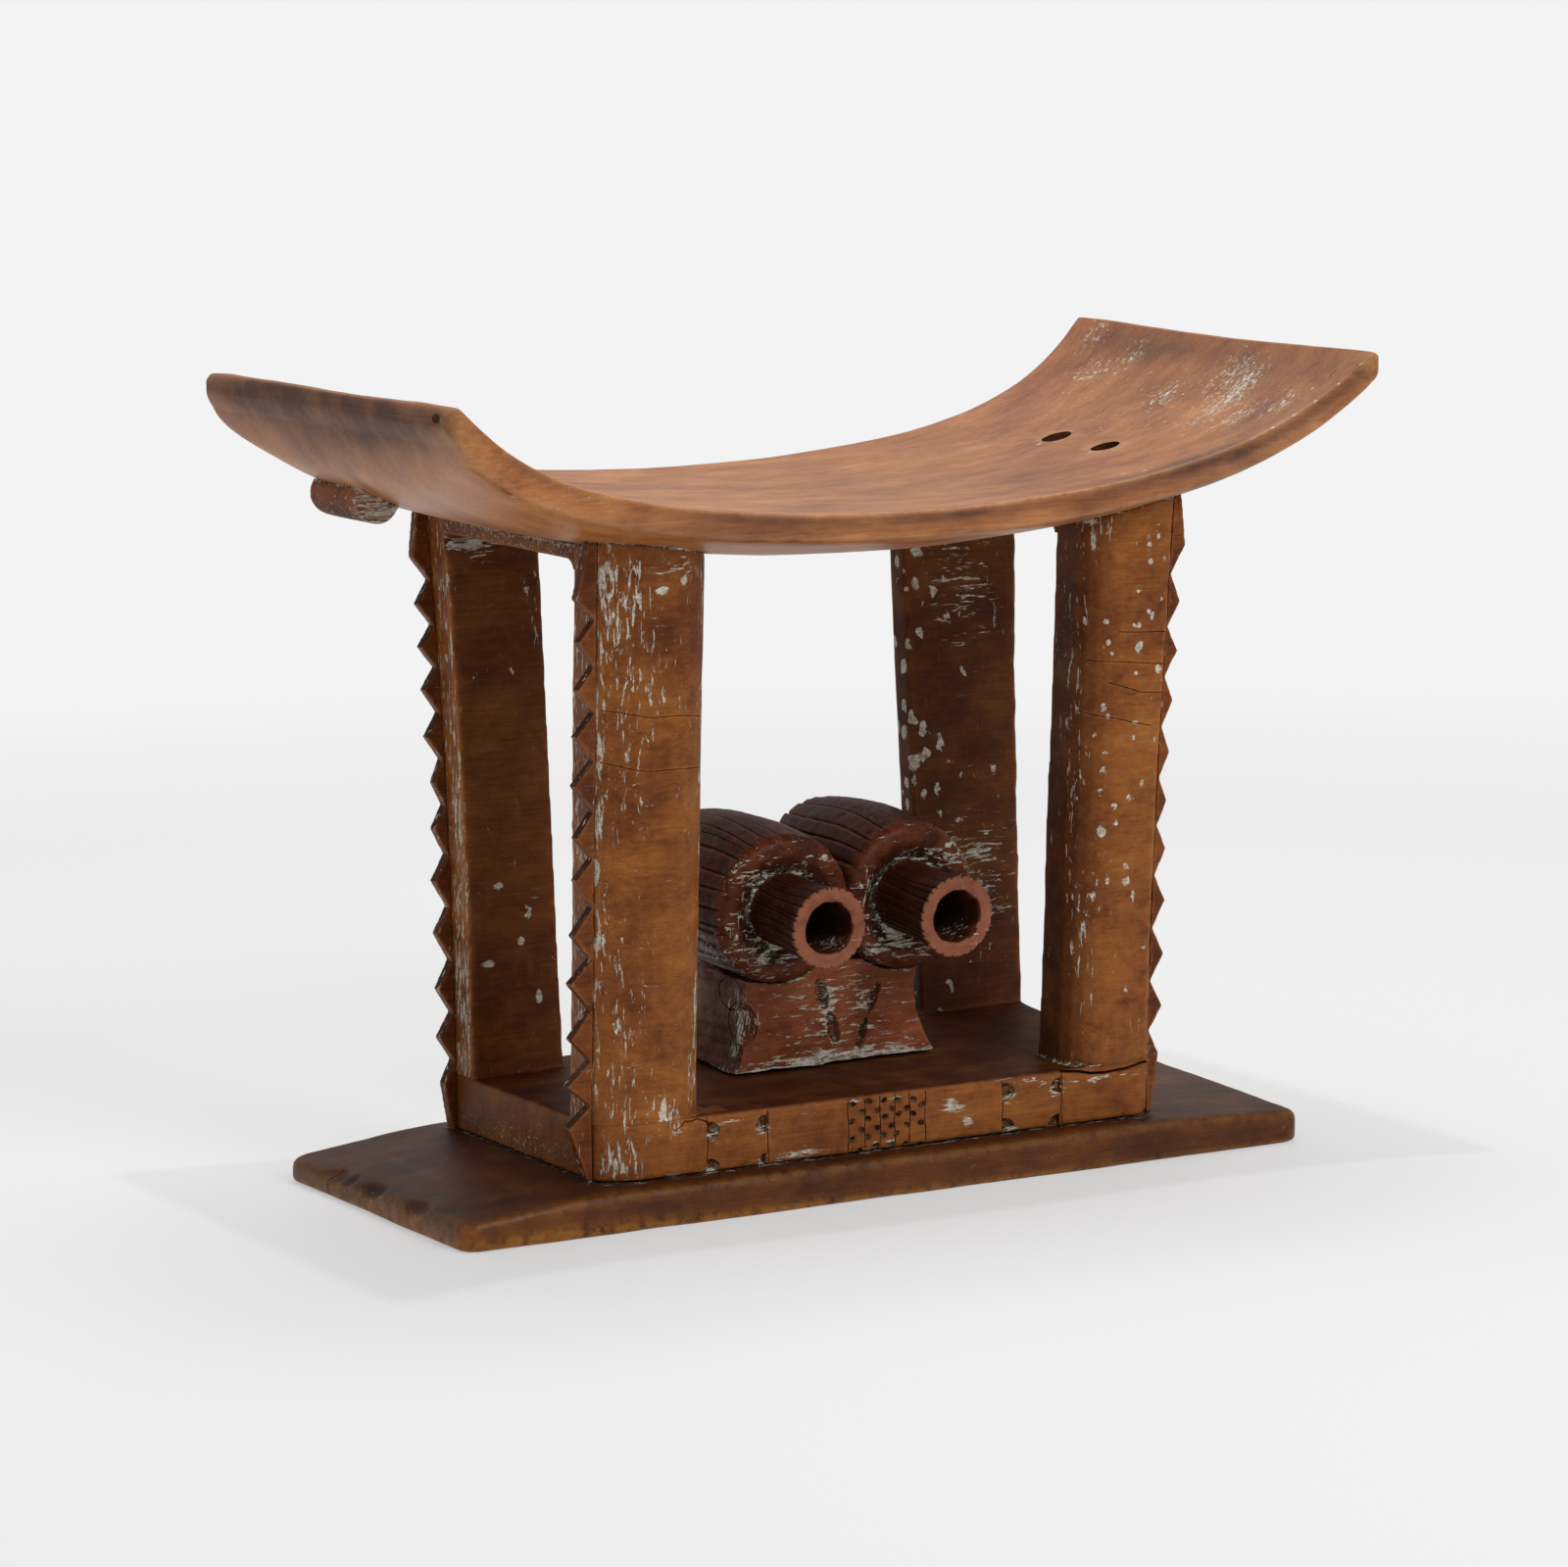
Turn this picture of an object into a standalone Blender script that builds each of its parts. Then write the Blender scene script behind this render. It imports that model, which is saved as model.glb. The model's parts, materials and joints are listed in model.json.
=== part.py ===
# Carved ceremonial stool: a curved seat on four posts with toothed fins, over a plinth and a base board.
# A pair of fluted drums lies on a waisted stand between the posts.
# Metres, +Z up. The origin is the middle of the underside, +X runs along the seat and -Y is the front.

import math
import bpy
import bmesh
from mathutils import Matrix, Vector

for old in list(bpy.data.objects):
    bpy.data.objects.remove(old, do_unlink=True)

# Clearances
joint_gap = 0.0003
cut_overrun = 0.004

# Base board
base_left_overhang = 0.0872
base_right_overhang = 0.0860
base_back_skew = 0.0150
base_width = 0.205
base_middle_height = 0.0208
base_left_height = 0.0145
base_right_height = 0.0166
base_back_left_drop = 0.0030
base_flat_reach = 0.004
base_top_round = 0.0046
base_foot_round = 0.0015
base_corner_round = 0.009
base_round_steps = 3
base_rim_angle = math.radians(50)
slope_place_shares = (0, 0.3, 0.6, 0.85, 1)
slope_drop_shares = (0, 0.19, 0.49, 0.80, 1)

# Plinth
plinth_half_share = 0.61463
plinth_width = 0.1715
plinth_height = 0.0296
plinth_edge_round = 0.0016
plinth_back_skew = 0.0144
plinth_back_lift = 0.0080
plinth_top_band = 0.0004
plinth_grid_cuts = 5
plinth_trim_spread = 0.030

# Plinth front: scored lines with pairs of notches, and a punched checker
score_ends = (-1, -1, 1, 1)
score_insets = (0.0593, 0.0947, 0.0908, 0.0546)
score_sides = (1, -1, 1, -1)
score_width = 0.0011
score_depth = 0.0010
notch_width = 0.0076
notch_height = 0.0104
notch_depth = 0.0026
notch_margin = 0.0022
notch_floor_share = 0.7
checker_lines = (-0.0214, -0.0104, -0.0015, 0.0070, 0.0158, 0.0246)
punch_rows = 7
punch_width = 0.0042
punch_top_share = 0.6
punch_shift_share = 0.25
punch_height = 0.0026
punch_depth = 0.0014
punch_margin = 0.0028

# Seat
seat_half_length = 0.2652
seat_height = 0.3561
seat_rise = 0.0676
seat_middle_half_width = 0.1313
seat_waist_draw = 0.0215
seat_tip_flare = 0.0118
seat_thickness = 0.0270
seat_left_tip_extra = 0.0080
seat_right_tip_extra = 0.0056
seat_cross_dish = 0.0028
seat_back_left_drop = 0.0032
seat_nose = 0.0062
seat_corner_round = 0.0130
seat_side_inset = 0.0230
seat_belly_inset = 0.0470
seat_stations = 24
dish_share = 0.51
seat_across_shares = (1, 0.72, 0.4, 0, -0.4, -0.72, -1)
side_depth_share = 0.50
shoulder_depth_share = 0.74
left_side_fill_share = 0.14
left_shoulder_fill_share = 0.10
belly_depth_share = 0.95
nose_out_shares = (0.45, 0.85, 1.0)
nose_top_shares = (0.05, 0.16, 0.34)
nose_bottom_shares = (0.12, 0.30, 0.50)
nose_corner_shares = (0.12, 0.50, 1.0)

# Cord holes through the seat
hole_diameter = 0.0160
hole_beyond_plinth = 0.0092
hole_spacing = 0.0522
hole_shift = -0.0055
hole_sides = 20

# Posts
post_front_depth = 0.0383
post_back_depth = 0.0272
post_front_splay = 0.0190
post_back_splay = 0.0240
post_foot_bury = 0.0100
post_left_lean = 0.0016
post_right_front_lean = 0.0070
post_right_back_lean = 0.0120
post_left_front_width = 0.0620
post_left_back_width = 0.0550
post_right_front_width = 0.0465
post_right_front_draw = 0.0034
post_right_back_width = 0.0510
post_left_back_bow = 0.0034
post_right_bow = 0.0020
post_level_shares = (0, 0.17, 0.34, 0.5, 0.66, 0.83, 1)
post_plan_shares = (
    (0.0, 0.0), (1.0, 0.0), (1.0, 0.36), (1.0, 0.72), (0.93, 0.83), (0.82, 0.92), (0.68, 0.98),
    (0.54, 1.0), (0.40, 0.985), (0.27, 0.94), (0.16, 0.86), (0.07, 0.74), (0.0, 0.55),
)
post_edge_share = 0.72
post_round_start_share = 0.54
post_square_share = 0.2

# Toothed fins
fin_thickness = 0.0064
fin_edge_set = 0.0008
fin_web = 0.0009
fin_foot_reach = 0.0024
front_left_tip_shares = (0.851, 0.789, 0.720, 0.653, 0.582, 0.506, 0.445, 0.364, 0.294, 0.213, 0.144, 0.082)
front_left_tip_reaches = (
    0.0112, 0.0101, 0.0103, 0.0110, 0.0116, 0.0102, 0.0102, 0.0114, 0.0128, 0.0124, 0.0142, 0.0128,
)
front_right_tip_shares = (0.866, 0.782, 0.707, 0.632, 0.554, 0.479, 0.407, 0.327, 0.245, 0.164, 0.091)
front_right_tip_reaches = (
    0.0086, 0.0076, 0.0078, 0.0068, 0.0065, 0.0062, 0.0071, 0.0079, 0.0085, 0.0087, 0.0074,
)
back_left_tip_shares = (0.858, 0.788, 0.724, 0.660, 0.590, 0.521, 0.452, 0.374, 0.296, 0.213, 0.140, 0.071)
back_left_tip_reaches = (
    0.0099, 0.0091, 0.0091, 0.0088, 0.0089, 0.0065, 0.0076, 0.0089, 0.0089, 0.0088, 0.0089, 0.0068,
)
back_right_tip_shares = (0.857, 0.786, 0.714, 0.643, 0.571, 0.500, 0.429, 0.357, 0.286, 0.214, 0.143, 0.071)
back_right_tip_reaches = (
    0.0086, 0.0085, 0.0084, 0.0083, 0.0082, 0.0081, 0.0080, 0.0079, 0.0078, 0.0077, 0.0076, 0.0075,
)

# Rails under the seat
rail_width = 0.0330
rail_depth = 0.0085
rail_arch = 0.0070
rail_arch_steps = 5
rail_right_set = 0.0190

# Lug under the left end
lug_front = 0.0330
lug_length = 0.0540
lug_set = 0.0420
lug_width = 0.0250
lug_depth = 0.0132
lug_sides = 12
lug_flat_share = 0.8

# Drums
drum_middle = 0.0184
drum_half_spacing = 0.0377
drum_rise = 0.0877
drum_ring_place = -0.0212
drum_tilt = math.radians(3.6)
shell_length = 0.0960
ring_radius = 0.0362
shell_front_radius = 0.0393
shell_middle_radius = 0.0412
shell_back_radius = 0.0355
ring_rim_width = 0.0088
ring_recess = 0.0045
ring_round = 0.0030
flute_count = 30
flute_depth = 0.0009
shell_stations = 9
foot_length = 0.0490
foot_root_radius = 0.0196
foot_waist_radius = 0.0192
foot_mouth_radius = 0.0218
foot_bore_radius = 0.0139
foot_bore_depth = 0.0400
foot_lip = 0.0030
foot_stations = 5
foot_right_drift = 0.0014

# Drum stand
stand_front = -0.0120
stand_depth = 0.0700
stand_middle = 0.0157
stand_foot_half_width = 0.0612
stand_top_half_width = 0.0515
stand_waist_draw = 0.0078
stand_top_drop = 0.0319
stand_foot_bury = 0.0060
stand_steps = 8
gouge_depth = 0.0030
gouge_width = 0.0052
gouge_lengths = (0.0170, 0.0175, 0.0140, 0.0210)
gouge_places = ((-0.0087, 0.0385), (-0.0022, 0.0199), (0.0226, 0.0345), (0.0147, 0.0146))
gouge_turns = (0.48, 0.40, -0.50, -0.34)
gouge_sides = 10
gouge_point_share = 0.3

plinth_base = base_middle_height + joint_gap
plinth_top = plinth_base + plinth_height
plinth_half = seat_half_length * plinth_half_share
plinth_side = plinth_width / 2
base_left_reach = plinth_half + base_left_overhang
base_right_reach = plinth_half + base_right_overhang
hole_reach = plinth_half + hole_beyond_plinth
lug_reach = seat_half_length - lug_set
drum_height = plinth_top + drum_rise
stand_top = drum_height - stand_top_drop
smooth_angle = math.radians(35)
stool = bpy.data.objects.new("stool", None)
bpy.context.scene.collection.objects.link(stool)


def material(name, colour, roughness):
    mat = bpy.data.materials.new(name)
    mat.use_nodes = True
    shader = mat.node_tree.nodes["Principled BSDF"]
    shader.inputs["Base Color"].default_value = (*colour, 1)
    shader.inputs["Roughness"].default_value = roughness
    shader.inputs["Metallic"].default_value = 0
    return mat


def add_piece(name, bm, place, colour, roughness, smooth=False):
    """Close a bmesh into a named object that stands at its place."""
    bmesh.ops.recalc_face_normals(bm, faces=bm.faces)
    mesh = bpy.data.meshes.new(name)
    bm.to_mesh(mesh)
    bm.free()
    if smooth:
        mesh.shade_smooth()
        mesh.set_sharp_from_angle(angle=smooth_angle)
    mesh.materials.append(material(name + "_wood", colour, roughness))
    piece = bpy.data.objects.new(name, mesh)
    piece.location = place
    piece.parent = stool
    bpy.context.scene.collection.objects.link(piece)
    return piece


def add_cutter(name, bm, place):
    """A hidden shape that a Boolean takes away."""
    cutter = add_piece(name, bm, place, (1, 1, 1), 1)
    cutter.hide_render = True
    cutter.display_type = "WIRE"
    return cutter


def cut(piece, cutter):
    boolean = piece.modifiers.new(cutter.name, "BOOLEAN")
    boolean.operation = "DIFFERENCE"
    boolean.solver = "EXACT"
    boolean.object = cutter


def loft(rings):
    """Skin rings of equal count and cap both ends."""
    bm = bmesh.new()
    levels = [[bm.verts.new(point) for point in ring] for ring in rings]
    for low, high in zip(levels, levels[1:]):
        for k in range(len(low)):
            after = (k + 1) % len(low)
            bm.faces.new((low[k], low[after], high[after], high[k]))
    bm.faces.new(list(reversed(levels[0])))
    bm.faces.new(levels[-1])
    return bm


def add_prism(bm, outline, low, high, axis):
    """Add an outline, drawn in the two other axes, as a prism between two levels of one axis."""
    rings = []
    for level in (low, high):
        ring = []
        for a, b in outline:
            point = {"X": (level, a, b), "Y": (a, level, b), "Z": (a, b, level)}[axis]
            ring.append(bm.verts.new(point))
        rings.append(ring)
    for k in range(len(outline)):
        after = (k + 1) % len(outline)
        bm.faces.new((rings[0][k], rings[0][after], rings[1][after], rings[1][k]))
    bm.faces.new(list(reversed(rings[0])))
    bm.faces.new(rings[1])


def round_edges(bm, edges, reach, steps):
    bmesh.ops.bevel(bm, geom=edges, offset=reach, segments=steps, profile=0.5, affect="EDGES",
                    clamp_overlap=True)


# Seat surface, as functions of the place along the stool
def seat_top(x):
    t = abs(x) / seat_half_length
    return seat_height + seat_rise * (dish_share * t ** 2 + (1 - dish_share) * t ** 6)


def seat_half_width(x):
    t = abs(x) / seat_half_length
    return seat_middle_half_width - seat_waist_draw * t ** 2 + (seat_waist_draw + seat_tip_flare) * t ** 4


def seat_depth(x):
    extra = seat_left_tip_extra if x < 0 else seat_right_tip_extra
    return seat_thickness + extra * (abs(x) / seat_half_length) ** 4


def back_left_drop(x, across):
    """The back left corner of the seat hangs a little."""
    return seat_back_left_drop * (min(x, 0) / seat_half_length) ** 8 * max(across, 0) ** 2


def seat_ring(x, out, top_share, bottom_share, corner_share, lift):
    """Cross section of the seat: dished top, upright sides and a hull-shaped underside."""
    half = seat_half_width(x) - seat_corner_round * corner_share
    depth = seat_depth(x)
    top = seat_top(x)
    place = x + math.copysign(out, x) if out else x
    fill = (abs(x) / seat_half_length) ** 4 if x < 0 else 0
    ring = [(place, half * a, top - seat_cross_dish * (1 - a * a) - back_left_drop(x, a) + lift)
            for a in seat_across_shares]
    under = (
        (0, side_depth_share + left_side_fill_share * fill),
        (seat_side_inset, shoulder_depth_share + left_shoulder_fill_share * fill),
        (seat_belly_inset, belly_depth_share),
    )
    ring += [(place, -half + inset, top - depth * share) for inset, share in under]
    ring.append((place, 0, top - depth))
    ring += [(place, half - inset, top - depth * share) for inset, share in reversed(under)]
    if out:
        low = top - depth * (1 - bottom_share)
        high = top - depth * top_share + lift
        ring = [(px, py, min(max(pz, low), high)) for px, py, pz in ring]
    return ring


def seat_rings(lift=0):
    noses = list(zip(nose_out_shares, nose_top_shares, nose_bottom_shares, nose_corner_shares))
    turns = [math.pi * (k / seat_stations - 0.5) for k in range(seat_stations + 1)]
    places = [seat_half_length * math.sin(turn) for turn in turns]
    rings = []
    for out, top_share, bottom_share, corner_share in reversed(noses):
        rings.append(seat_ring(places[0], seat_nose * out, top_share, bottom_share, corner_share, lift))
    rings += [seat_ring(x, 0, 0, 0, 0, lift) for x in places]
    for out, top_share, bottom_share, corner_share in noses:
        rings.append(seat_ring(places[-1], seat_nose * out, top_share, bottom_share, corner_share, lift))
    return rings


seat = add_piece("seat", loft(seat_rings()), (0, 0, 0), (0.21, 0.085, 0.042), 0.42, smooth=True)
holes = bmesh.new()
for side in (-1, 1):
    centre = Matrix.Translation((hole_reach, hole_shift + side * hole_spacing / 2, seat_height))
    bmesh.ops.create_cone(holes, cap_ends=True, segments=hole_sides, radius1=hole_diameter / 2,
                          radius2=hole_diameter / 2, depth=2 * (seat_rise + seat_thickness), matrix=centre)
cut(seat, add_cutter("seat_holes", holes, (0, 0, 0)))
# The seat, lowered by the joint gap and thickened upwards, trims every piece that meets it from below.
seat_trim = add_cutter("seat_trim", loft(seat_rings(seat_rise)), (0, 0, -joint_gap))


# Plinth surface: the right end is a little askew and the top rises to the back right corner
def back_share(y):
    return (y + plinth_side) / plinth_width


def end_reach(side_x, y):
    return plinth_half + (plinth_back_skew * back_share(y) if side_x > 0 else 0)


def plinth_lift(x, y):
    return plinth_back_lift * back_share(y) * (x + plinth_half) / (2 * plinth_half)


def plinth_corners(spread):
    left = -plinth_half - spread
    right_front = end_reach(1, -plinth_side) + spread
    right_back = end_reach(1, plinth_side) + spread
    side = plinth_side + spread
    return [(left, -side), (right_front, -side), (right_back, side), (left, side)]


def divided_top(bm, low):
    """Divide the top into a grid and raise it to its slanted height."""
    top_edges = [e for e in bm.edges if min(v.co.z for v in e.verts) > low]
    bmesh.ops.subdivide_edges(bm, edges=top_edges, cuts=plinth_grid_cuts, use_grid_fill=True)
    for v in bm.verts:
        if v.co.z > low:
            v.co.z += plinth_lift(v.co.x, v.co.y)


# Base board: highest under the plinth, falling to both ends
def base_slope(reach, end_height):
    flat = plinth_half + base_flat_reach
    return [(flat + (reach - flat) * place, base_middle_height - (base_middle_height - end_height) * drop)
            for place, drop in zip(slope_place_shares, slope_drop_shares)]


board = bmesh.new()
left_slope = base_slope(base_left_reach, base_left_height)
right_slope = base_slope(base_right_reach, base_right_height)
board_outline = [(-base_left_reach, 0), (base_right_reach, 0)] + list(reversed(right_slope))
board_outline += [(-x, z) for x, z in left_slope]
add_prism(board, board_outline, -base_width / 2, base_width / 2, "Y")
corners = [e for e in board.edges if (e.verts[0].co - e.verts[1].co).xy.length < joint_gap]
round_edges(board, corners, base_corner_round, base_round_steps)
rim = [e for e in board.edges
       if min(v.co.z for v in e.verts) > base_left_height / 2 and e.calc_face_angle(0) > base_rim_angle]
round_edges(board, rim, base_top_round, base_round_steps)
foot_rim = [e for e in board.edges
            if max(v.co.z for v in e.verts) < joint_gap and e.calc_face_angle(0) > base_rim_angle]
round_edges(board, foot_rim, base_foot_round, 1)
left_flat = plinth_half + base_flat_reach
for v in board.verts:
    back = (v.co.y + base_width / 2) / base_width
    if v.co.x > plinth_half:
        v.co.x += base_back_skew * back
    if v.co.x < -left_flat and v.co.z > base_left_height / 2:
        v.co.z -= base_back_left_drop * back * (-v.co.x - left_flat) / (base_left_reach - left_flat)
add_piece("base_board", board, (0, 0, 0), (0.11, 0.042, 0.02), 0.4, smooth=True)


# Plinth with its scored and punched front
block = bmesh.new()
add_prism(block, plinth_corners(0), 0, plinth_height, "Z")
upper = [e for e in block.edges if min(v.co.z for v in e.verts) > plinth_height / 2]
round_edges(block, upper, plinth_edge_round, 2)
divided_top(block, plinth_height - plinth_top_band)
plinth = add_piece("plinth", block, (0, 0, plinth_base), (0.17, 0.06, 0.028), 0.45)

# The plinth, spread sideways and raised by the joint gap, trims every piece that stands on it.
trim_block = bmesh.new()
add_prism(trim_block, plinth_corners(plinth_trim_spread), 0, plinth_height, "Z")
divided_top(trim_block, plinth_height / 2)
plinth_trim = add_cutter("plinth_trim", trim_block, (0, 0, plinth_base + joint_gap))

marks = bmesh.new()
punches = bmesh.new()
front = -plinth_side


def add_score(bm, x):
    """A V groove down the front of the plinth."""
    outline = [(x - score_width, front - score_depth), (x, front + score_depth),
               (x + score_width, front - score_depth)]
    add_prism(bm, outline, plinth_edge_round, plinth_height - plinth_edge_round, "Z")


def add_notch(bm, x, side, low):
    """A three-sided chip with its upright side on a scored line."""
    near = x + side * (score_width + joint_gap)
    middle = low + notch_height / 2
    outer = [(near, low), (near + side * notch_width, middle), (near, low + notch_height)]
    floor = [(near + (a - near) * notch_floor_share, middle + (b - middle) * notch_floor_share)
             for a, b in outer]
    rings = [[bm.verts.new((a, front - cut_overrun, b)) for a, b in outer],
             [bm.verts.new((a, front, b)) for a, b in outer],
             [bm.verts.new((a, front + notch_depth, b)) for a, b in floor]]
    for ring, after in zip(rings, rings[1:]):
        for k in range(len(outer)):
            beside = (k + 1) % len(outer)
            bm.faces.new((ring[k], ring[beside], after[beside], after[k]))
    bm.faces.new(list(reversed(rings[0])))
    bm.faces.new(rings[-1])


for end, inset, side in zip(score_ends, score_insets, score_sides):
    x = end * (plinth_half - inset)
    add_score(marks, x)
    add_notch(marks, x, side, notch_margin)
    add_notch(marks, x, side, plinth_height - notch_margin - notch_height)
for x in checker_lines:
    add_score(marks, x)
row_pitch = (plinth_height - 2 * punch_margin) / (punch_rows - 1)
for row in range(punch_rows):
    for left, right in zip(checker_lines, checker_lines[1:]):
        x = (left + right) / 2 + punch_width * punch_shift_share * (1 if row % 2 else -1)
        z = punch_margin + row * row_pitch
        foot_half = punch_width / 2
        top_half = foot_half * punch_top_share
        outline = [(x - foot_half, z - punch_height / 2), (x + foot_half, z - punch_height / 2),
                   (x + top_half, z + punch_height / 2), (x - top_half, z + punch_height / 2)]
        add_prism(punches, outline, front - cut_overrun, front + punch_depth, "Y")
cut(plinth, add_cutter("plinth_marks", marks, (0, 0, plinth_base)))
cut(plinth, add_cutter("plinth_punches", punches, (0, 0, plinth_base)))


# Posts: flat inside and at the end, rounded outside, splaying outwards as they rise
post_top = seat_top(plinth_half)
post_table = (
    {"name": "front_left", "x": -1, "y": -1, "depth": post_front_depth, "splay": post_front_splay,
     "width": post_left_front_width, "draw": 0, "lean": post_left_lean, "bow": 0, "bulge_share": 1,
     "tip_shares": front_left_tip_shares, "tip_reaches": front_left_tip_reaches},
    {"name": "front_right", "x": 1, "y": -1, "depth": post_front_depth, "splay": post_front_splay,
     "width": post_right_front_width, "draw": post_right_front_draw, "lean": post_right_front_lean,
     "bow": post_right_bow, "bulge_share": post_square_share,
     "tip_shares": front_right_tip_shares, "tip_reaches": front_right_tip_reaches},
    {"name": "back_left", "x": -1, "y": 1, "depth": post_back_depth, "splay": post_back_splay,
     "width": post_left_back_width, "draw": 0, "lean": post_left_lean, "bow": post_left_back_bow,
     "bulge_share": post_square_share,
     "tip_shares": back_left_tip_shares, "tip_reaches": back_left_tip_reaches},
    {"name": "back_right", "x": 1, "y": 1, "depth": post_back_depth, "splay": post_back_splay,
     "width": post_right_back_width, "draw": 0, "lean": post_right_back_lean, "bow": post_right_bow,
     "bulge_share": post_square_share,
     "tip_shares": back_right_tip_shares, "tip_reaches": back_right_tip_reaches},
)


def rise_share(z):
    """0 at the plinth top and below it, 1 at the post tops."""
    return max(z - plinth_top, 0) / (post_top - plinth_top)


def end_face(side_x, foot_y, lean, bow, z):
    """Distance of a post's end face from the middle of the stool."""
    share = rise_share(z)
    return end_reach(side_x, foot_y) + lean * share - bow * 4 * share * (1 - share)


for kind in post_table:
    rings = []
    levels = [plinth_top + (post_top - plinth_top) * share for share in post_level_shares]
    for z in [plinth_top - post_foot_bury] + levels:
        inner = plinth_half - kind["width"] + kind["draw"] * rise_share(z)
        ring = []
        for across, deep in post_plan_shares:
            if across > post_round_start_share and deep >= post_edge_share:
                deep = 1 - (1 - deep) * kind["bulge_share"]
            foot_y = kind["y"] * (plinth_side - kind["depth"] * (1 - deep))
            outer = end_face(kind["x"], foot_y, kind["lean"], kind["bow"], z)
            y = foot_y + kind["y"] * kind["splay"] * rise_share(z)
            ring.append((kind["x"] * (inner + (outer - inner) * across), y, z))
        rings.append(ring)
    post = add_piece("post_" + kind["name"], loft(rings), (0, 0, 0), (0.2, 0.072, 0.033), 0.45, smooth=True)
    cut(post, seat_trim)
    cut(post, plinth_trim)


# Toothed fins down the end faces of the posts and the plinth
def fin_levels(tip_shares, tip_reaches):
    """Heights and reaches of the teeth, from the base board up to the seat."""
    foot = base_middle_height + joint_gap
    levels = [(post_top, fin_web)]
    for share, reach in zip(tip_shares, tip_reaches):
        tip = foot + (post_top - foot) * share
        if len(levels) > 1:
            levels.append(((tip + levels[-1][0]) / 2, fin_web))
        levels.append((tip, reach))
    levels.append((foot, fin_foot_reach))
    levels.reverse()
    for k, ((low, low_reach), (high, high_reach)) in enumerate(zip(levels, levels[1:])):
        if low < plinth_top < high:
            share = (plinth_top - low) / (high - low)
            levels.insert(k + 1, (plinth_top, low_reach + (high_reach - low_reach) * share))
            break
    return levels


for kind in post_table:
    edge = kind["depth"] * (1 - post_edge_share) * kind["bulge_share"] + fin_edge_set
    rings = []
    for z, reach in fin_levels(kind["tip_shares"], kind["tip_reaches"]):
        ring = []
        far = edge + fin_thickness
        for foot_side, out in ((far, 0), (far, reach), (edge, reach), (edge, 0)):
            foot_y = kind["y"] * (plinth_side - foot_side)
            x = end_face(kind["x"], foot_y, kind["lean"], kind["bow"], z) + joint_gap + out
            ring.append((kind["x"] * x, foot_y + kind["y"] * kind["splay"] * rise_share(z), z))
        rings.append(ring)
    fin = add_piece("fin_" + kind["name"], loft(rings), (0, 0, 0), (0.13, 0.05, 0.025), 0.5)
    cut(fin, seat_trim)


# Rails under the seat, arched into the posts on both sides
def rail_side(depth, splay, side_y):
    """One half of the rail's outline, from the top down the post and round the arch."""
    low = post_top - seat_thickness - rail_depth

    def inner_face(z):
        return plinth_side - depth + splay * rise_share(z) - joint_gap

    foot = low - rail_arch
    points = [(inner_face(post_top), post_top), (inner_face(foot), foot)]
    for k in range(1, rail_arch_steps + 1):
        turn = math.pi / 2 * k / rail_arch_steps
        points.append((inner_face(foot) - rail_arch * (1 - math.cos(turn)),
                       foot + rail_arch * math.sin(turn)))
    return [(side_y * y, z) for y, z in points]


rail_outline = rail_side(post_front_depth, post_front_splay, -1)
rail_outline += reversed(rail_side(post_back_depth, post_back_splay, 1))
rail_table = (("rail_left", -1, post_left_lean, 0), ("rail_right", 1, post_right_front_lean, rail_right_set))
for name, side_x, lean, set_back in rail_table:
    rings = []
    for inset in (set_back + rail_width, set_back):
        rings.append([(side_x * (end_face(side_x, y, lean, 0, z) - joint_gap - inset), y, z)
                      for y, z in rail_outline])
    rail = add_piece(name, loft(rings), (0, 0, 0), (0.12, 0.055, 0.035), 0.6)
    cut(rail, seat_trim)


# Half-round lug under the left end of the seat
lug_slope = math.atan2(seat_top(lug_reach + lug_width) - seat_top(lug_reach), lug_width)
lug_rise = seat_thickness / 2
lug_profile = [(-lug_width / 2, lug_rise)]
for k in range(lug_sides + 1):
    turn = math.pi * k / lug_sides
    lug_profile.append((-lug_width / 2 * math.cos(turn), -lug_depth * math.sin(turn) ** lug_flat_share))
lug_profile.append((lug_width / 2, lug_rise))
lug_turned = [(along * math.cos(lug_slope) + up * math.sin(lug_slope),
               up * math.cos(lug_slope) - along * math.sin(lug_slope)) for along, up in lug_profile]
bm = bmesh.new()
add_prism(bm, lug_turned, 0, lug_length, "Y")
lug_place = (-lug_reach, lug_front, seat_top(lug_reach) - seat_depth(-lug_reach))
lug = add_piece("seat_lug", bm, lug_place, (0.15, 0.06, 0.03), 0.5, smooth=True)
cut(lug, seat_trim)


# Drums: a fluted shell behind a raised ring, and a fluted foot with an open mouth in front
def turned(profile, sides, depth=0, fluted=None):
    """Turn (distance, radius, drift) rows round the Y axis, with a flute between every two ridges."""
    rings = []
    for distance, radius, drift in profile:
        ring = []
        for k in range(sides):
            turn = 2 * math.pi * k / sides
            r = radius - (depth if depth and k % 2 and fluted(distance) else 0)
            ring.append((r * math.cos(turn) + drift, distance, r * math.sin(turn) - drift))
        rings.append(ring)
    return rings


def shell_radius(share):
    """Barrel curve through the front, middle and back radii."""
    return (shell_front_radius * (1 - share) * (1 - 2 * share)
            + 4 * shell_middle_radius * share * (1 - share)
            + shell_back_radius * share * (2 * share - 1))


def shell_rings(grow):
    profile = [(0, ring_radius + grow, 0),
               (ring_round, shell_radius(ring_round / shell_length) + grow, 0)]
    for k in range(1, shell_stations + 1):
        share = k / shell_stations
        profile.append((shell_length * share, shell_radius(share) + grow, 0))
    depth = 0 if grow else flute_depth
    return turned(profile, 2 * flute_count, depth, lambda distance: distance > ring_round)


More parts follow.
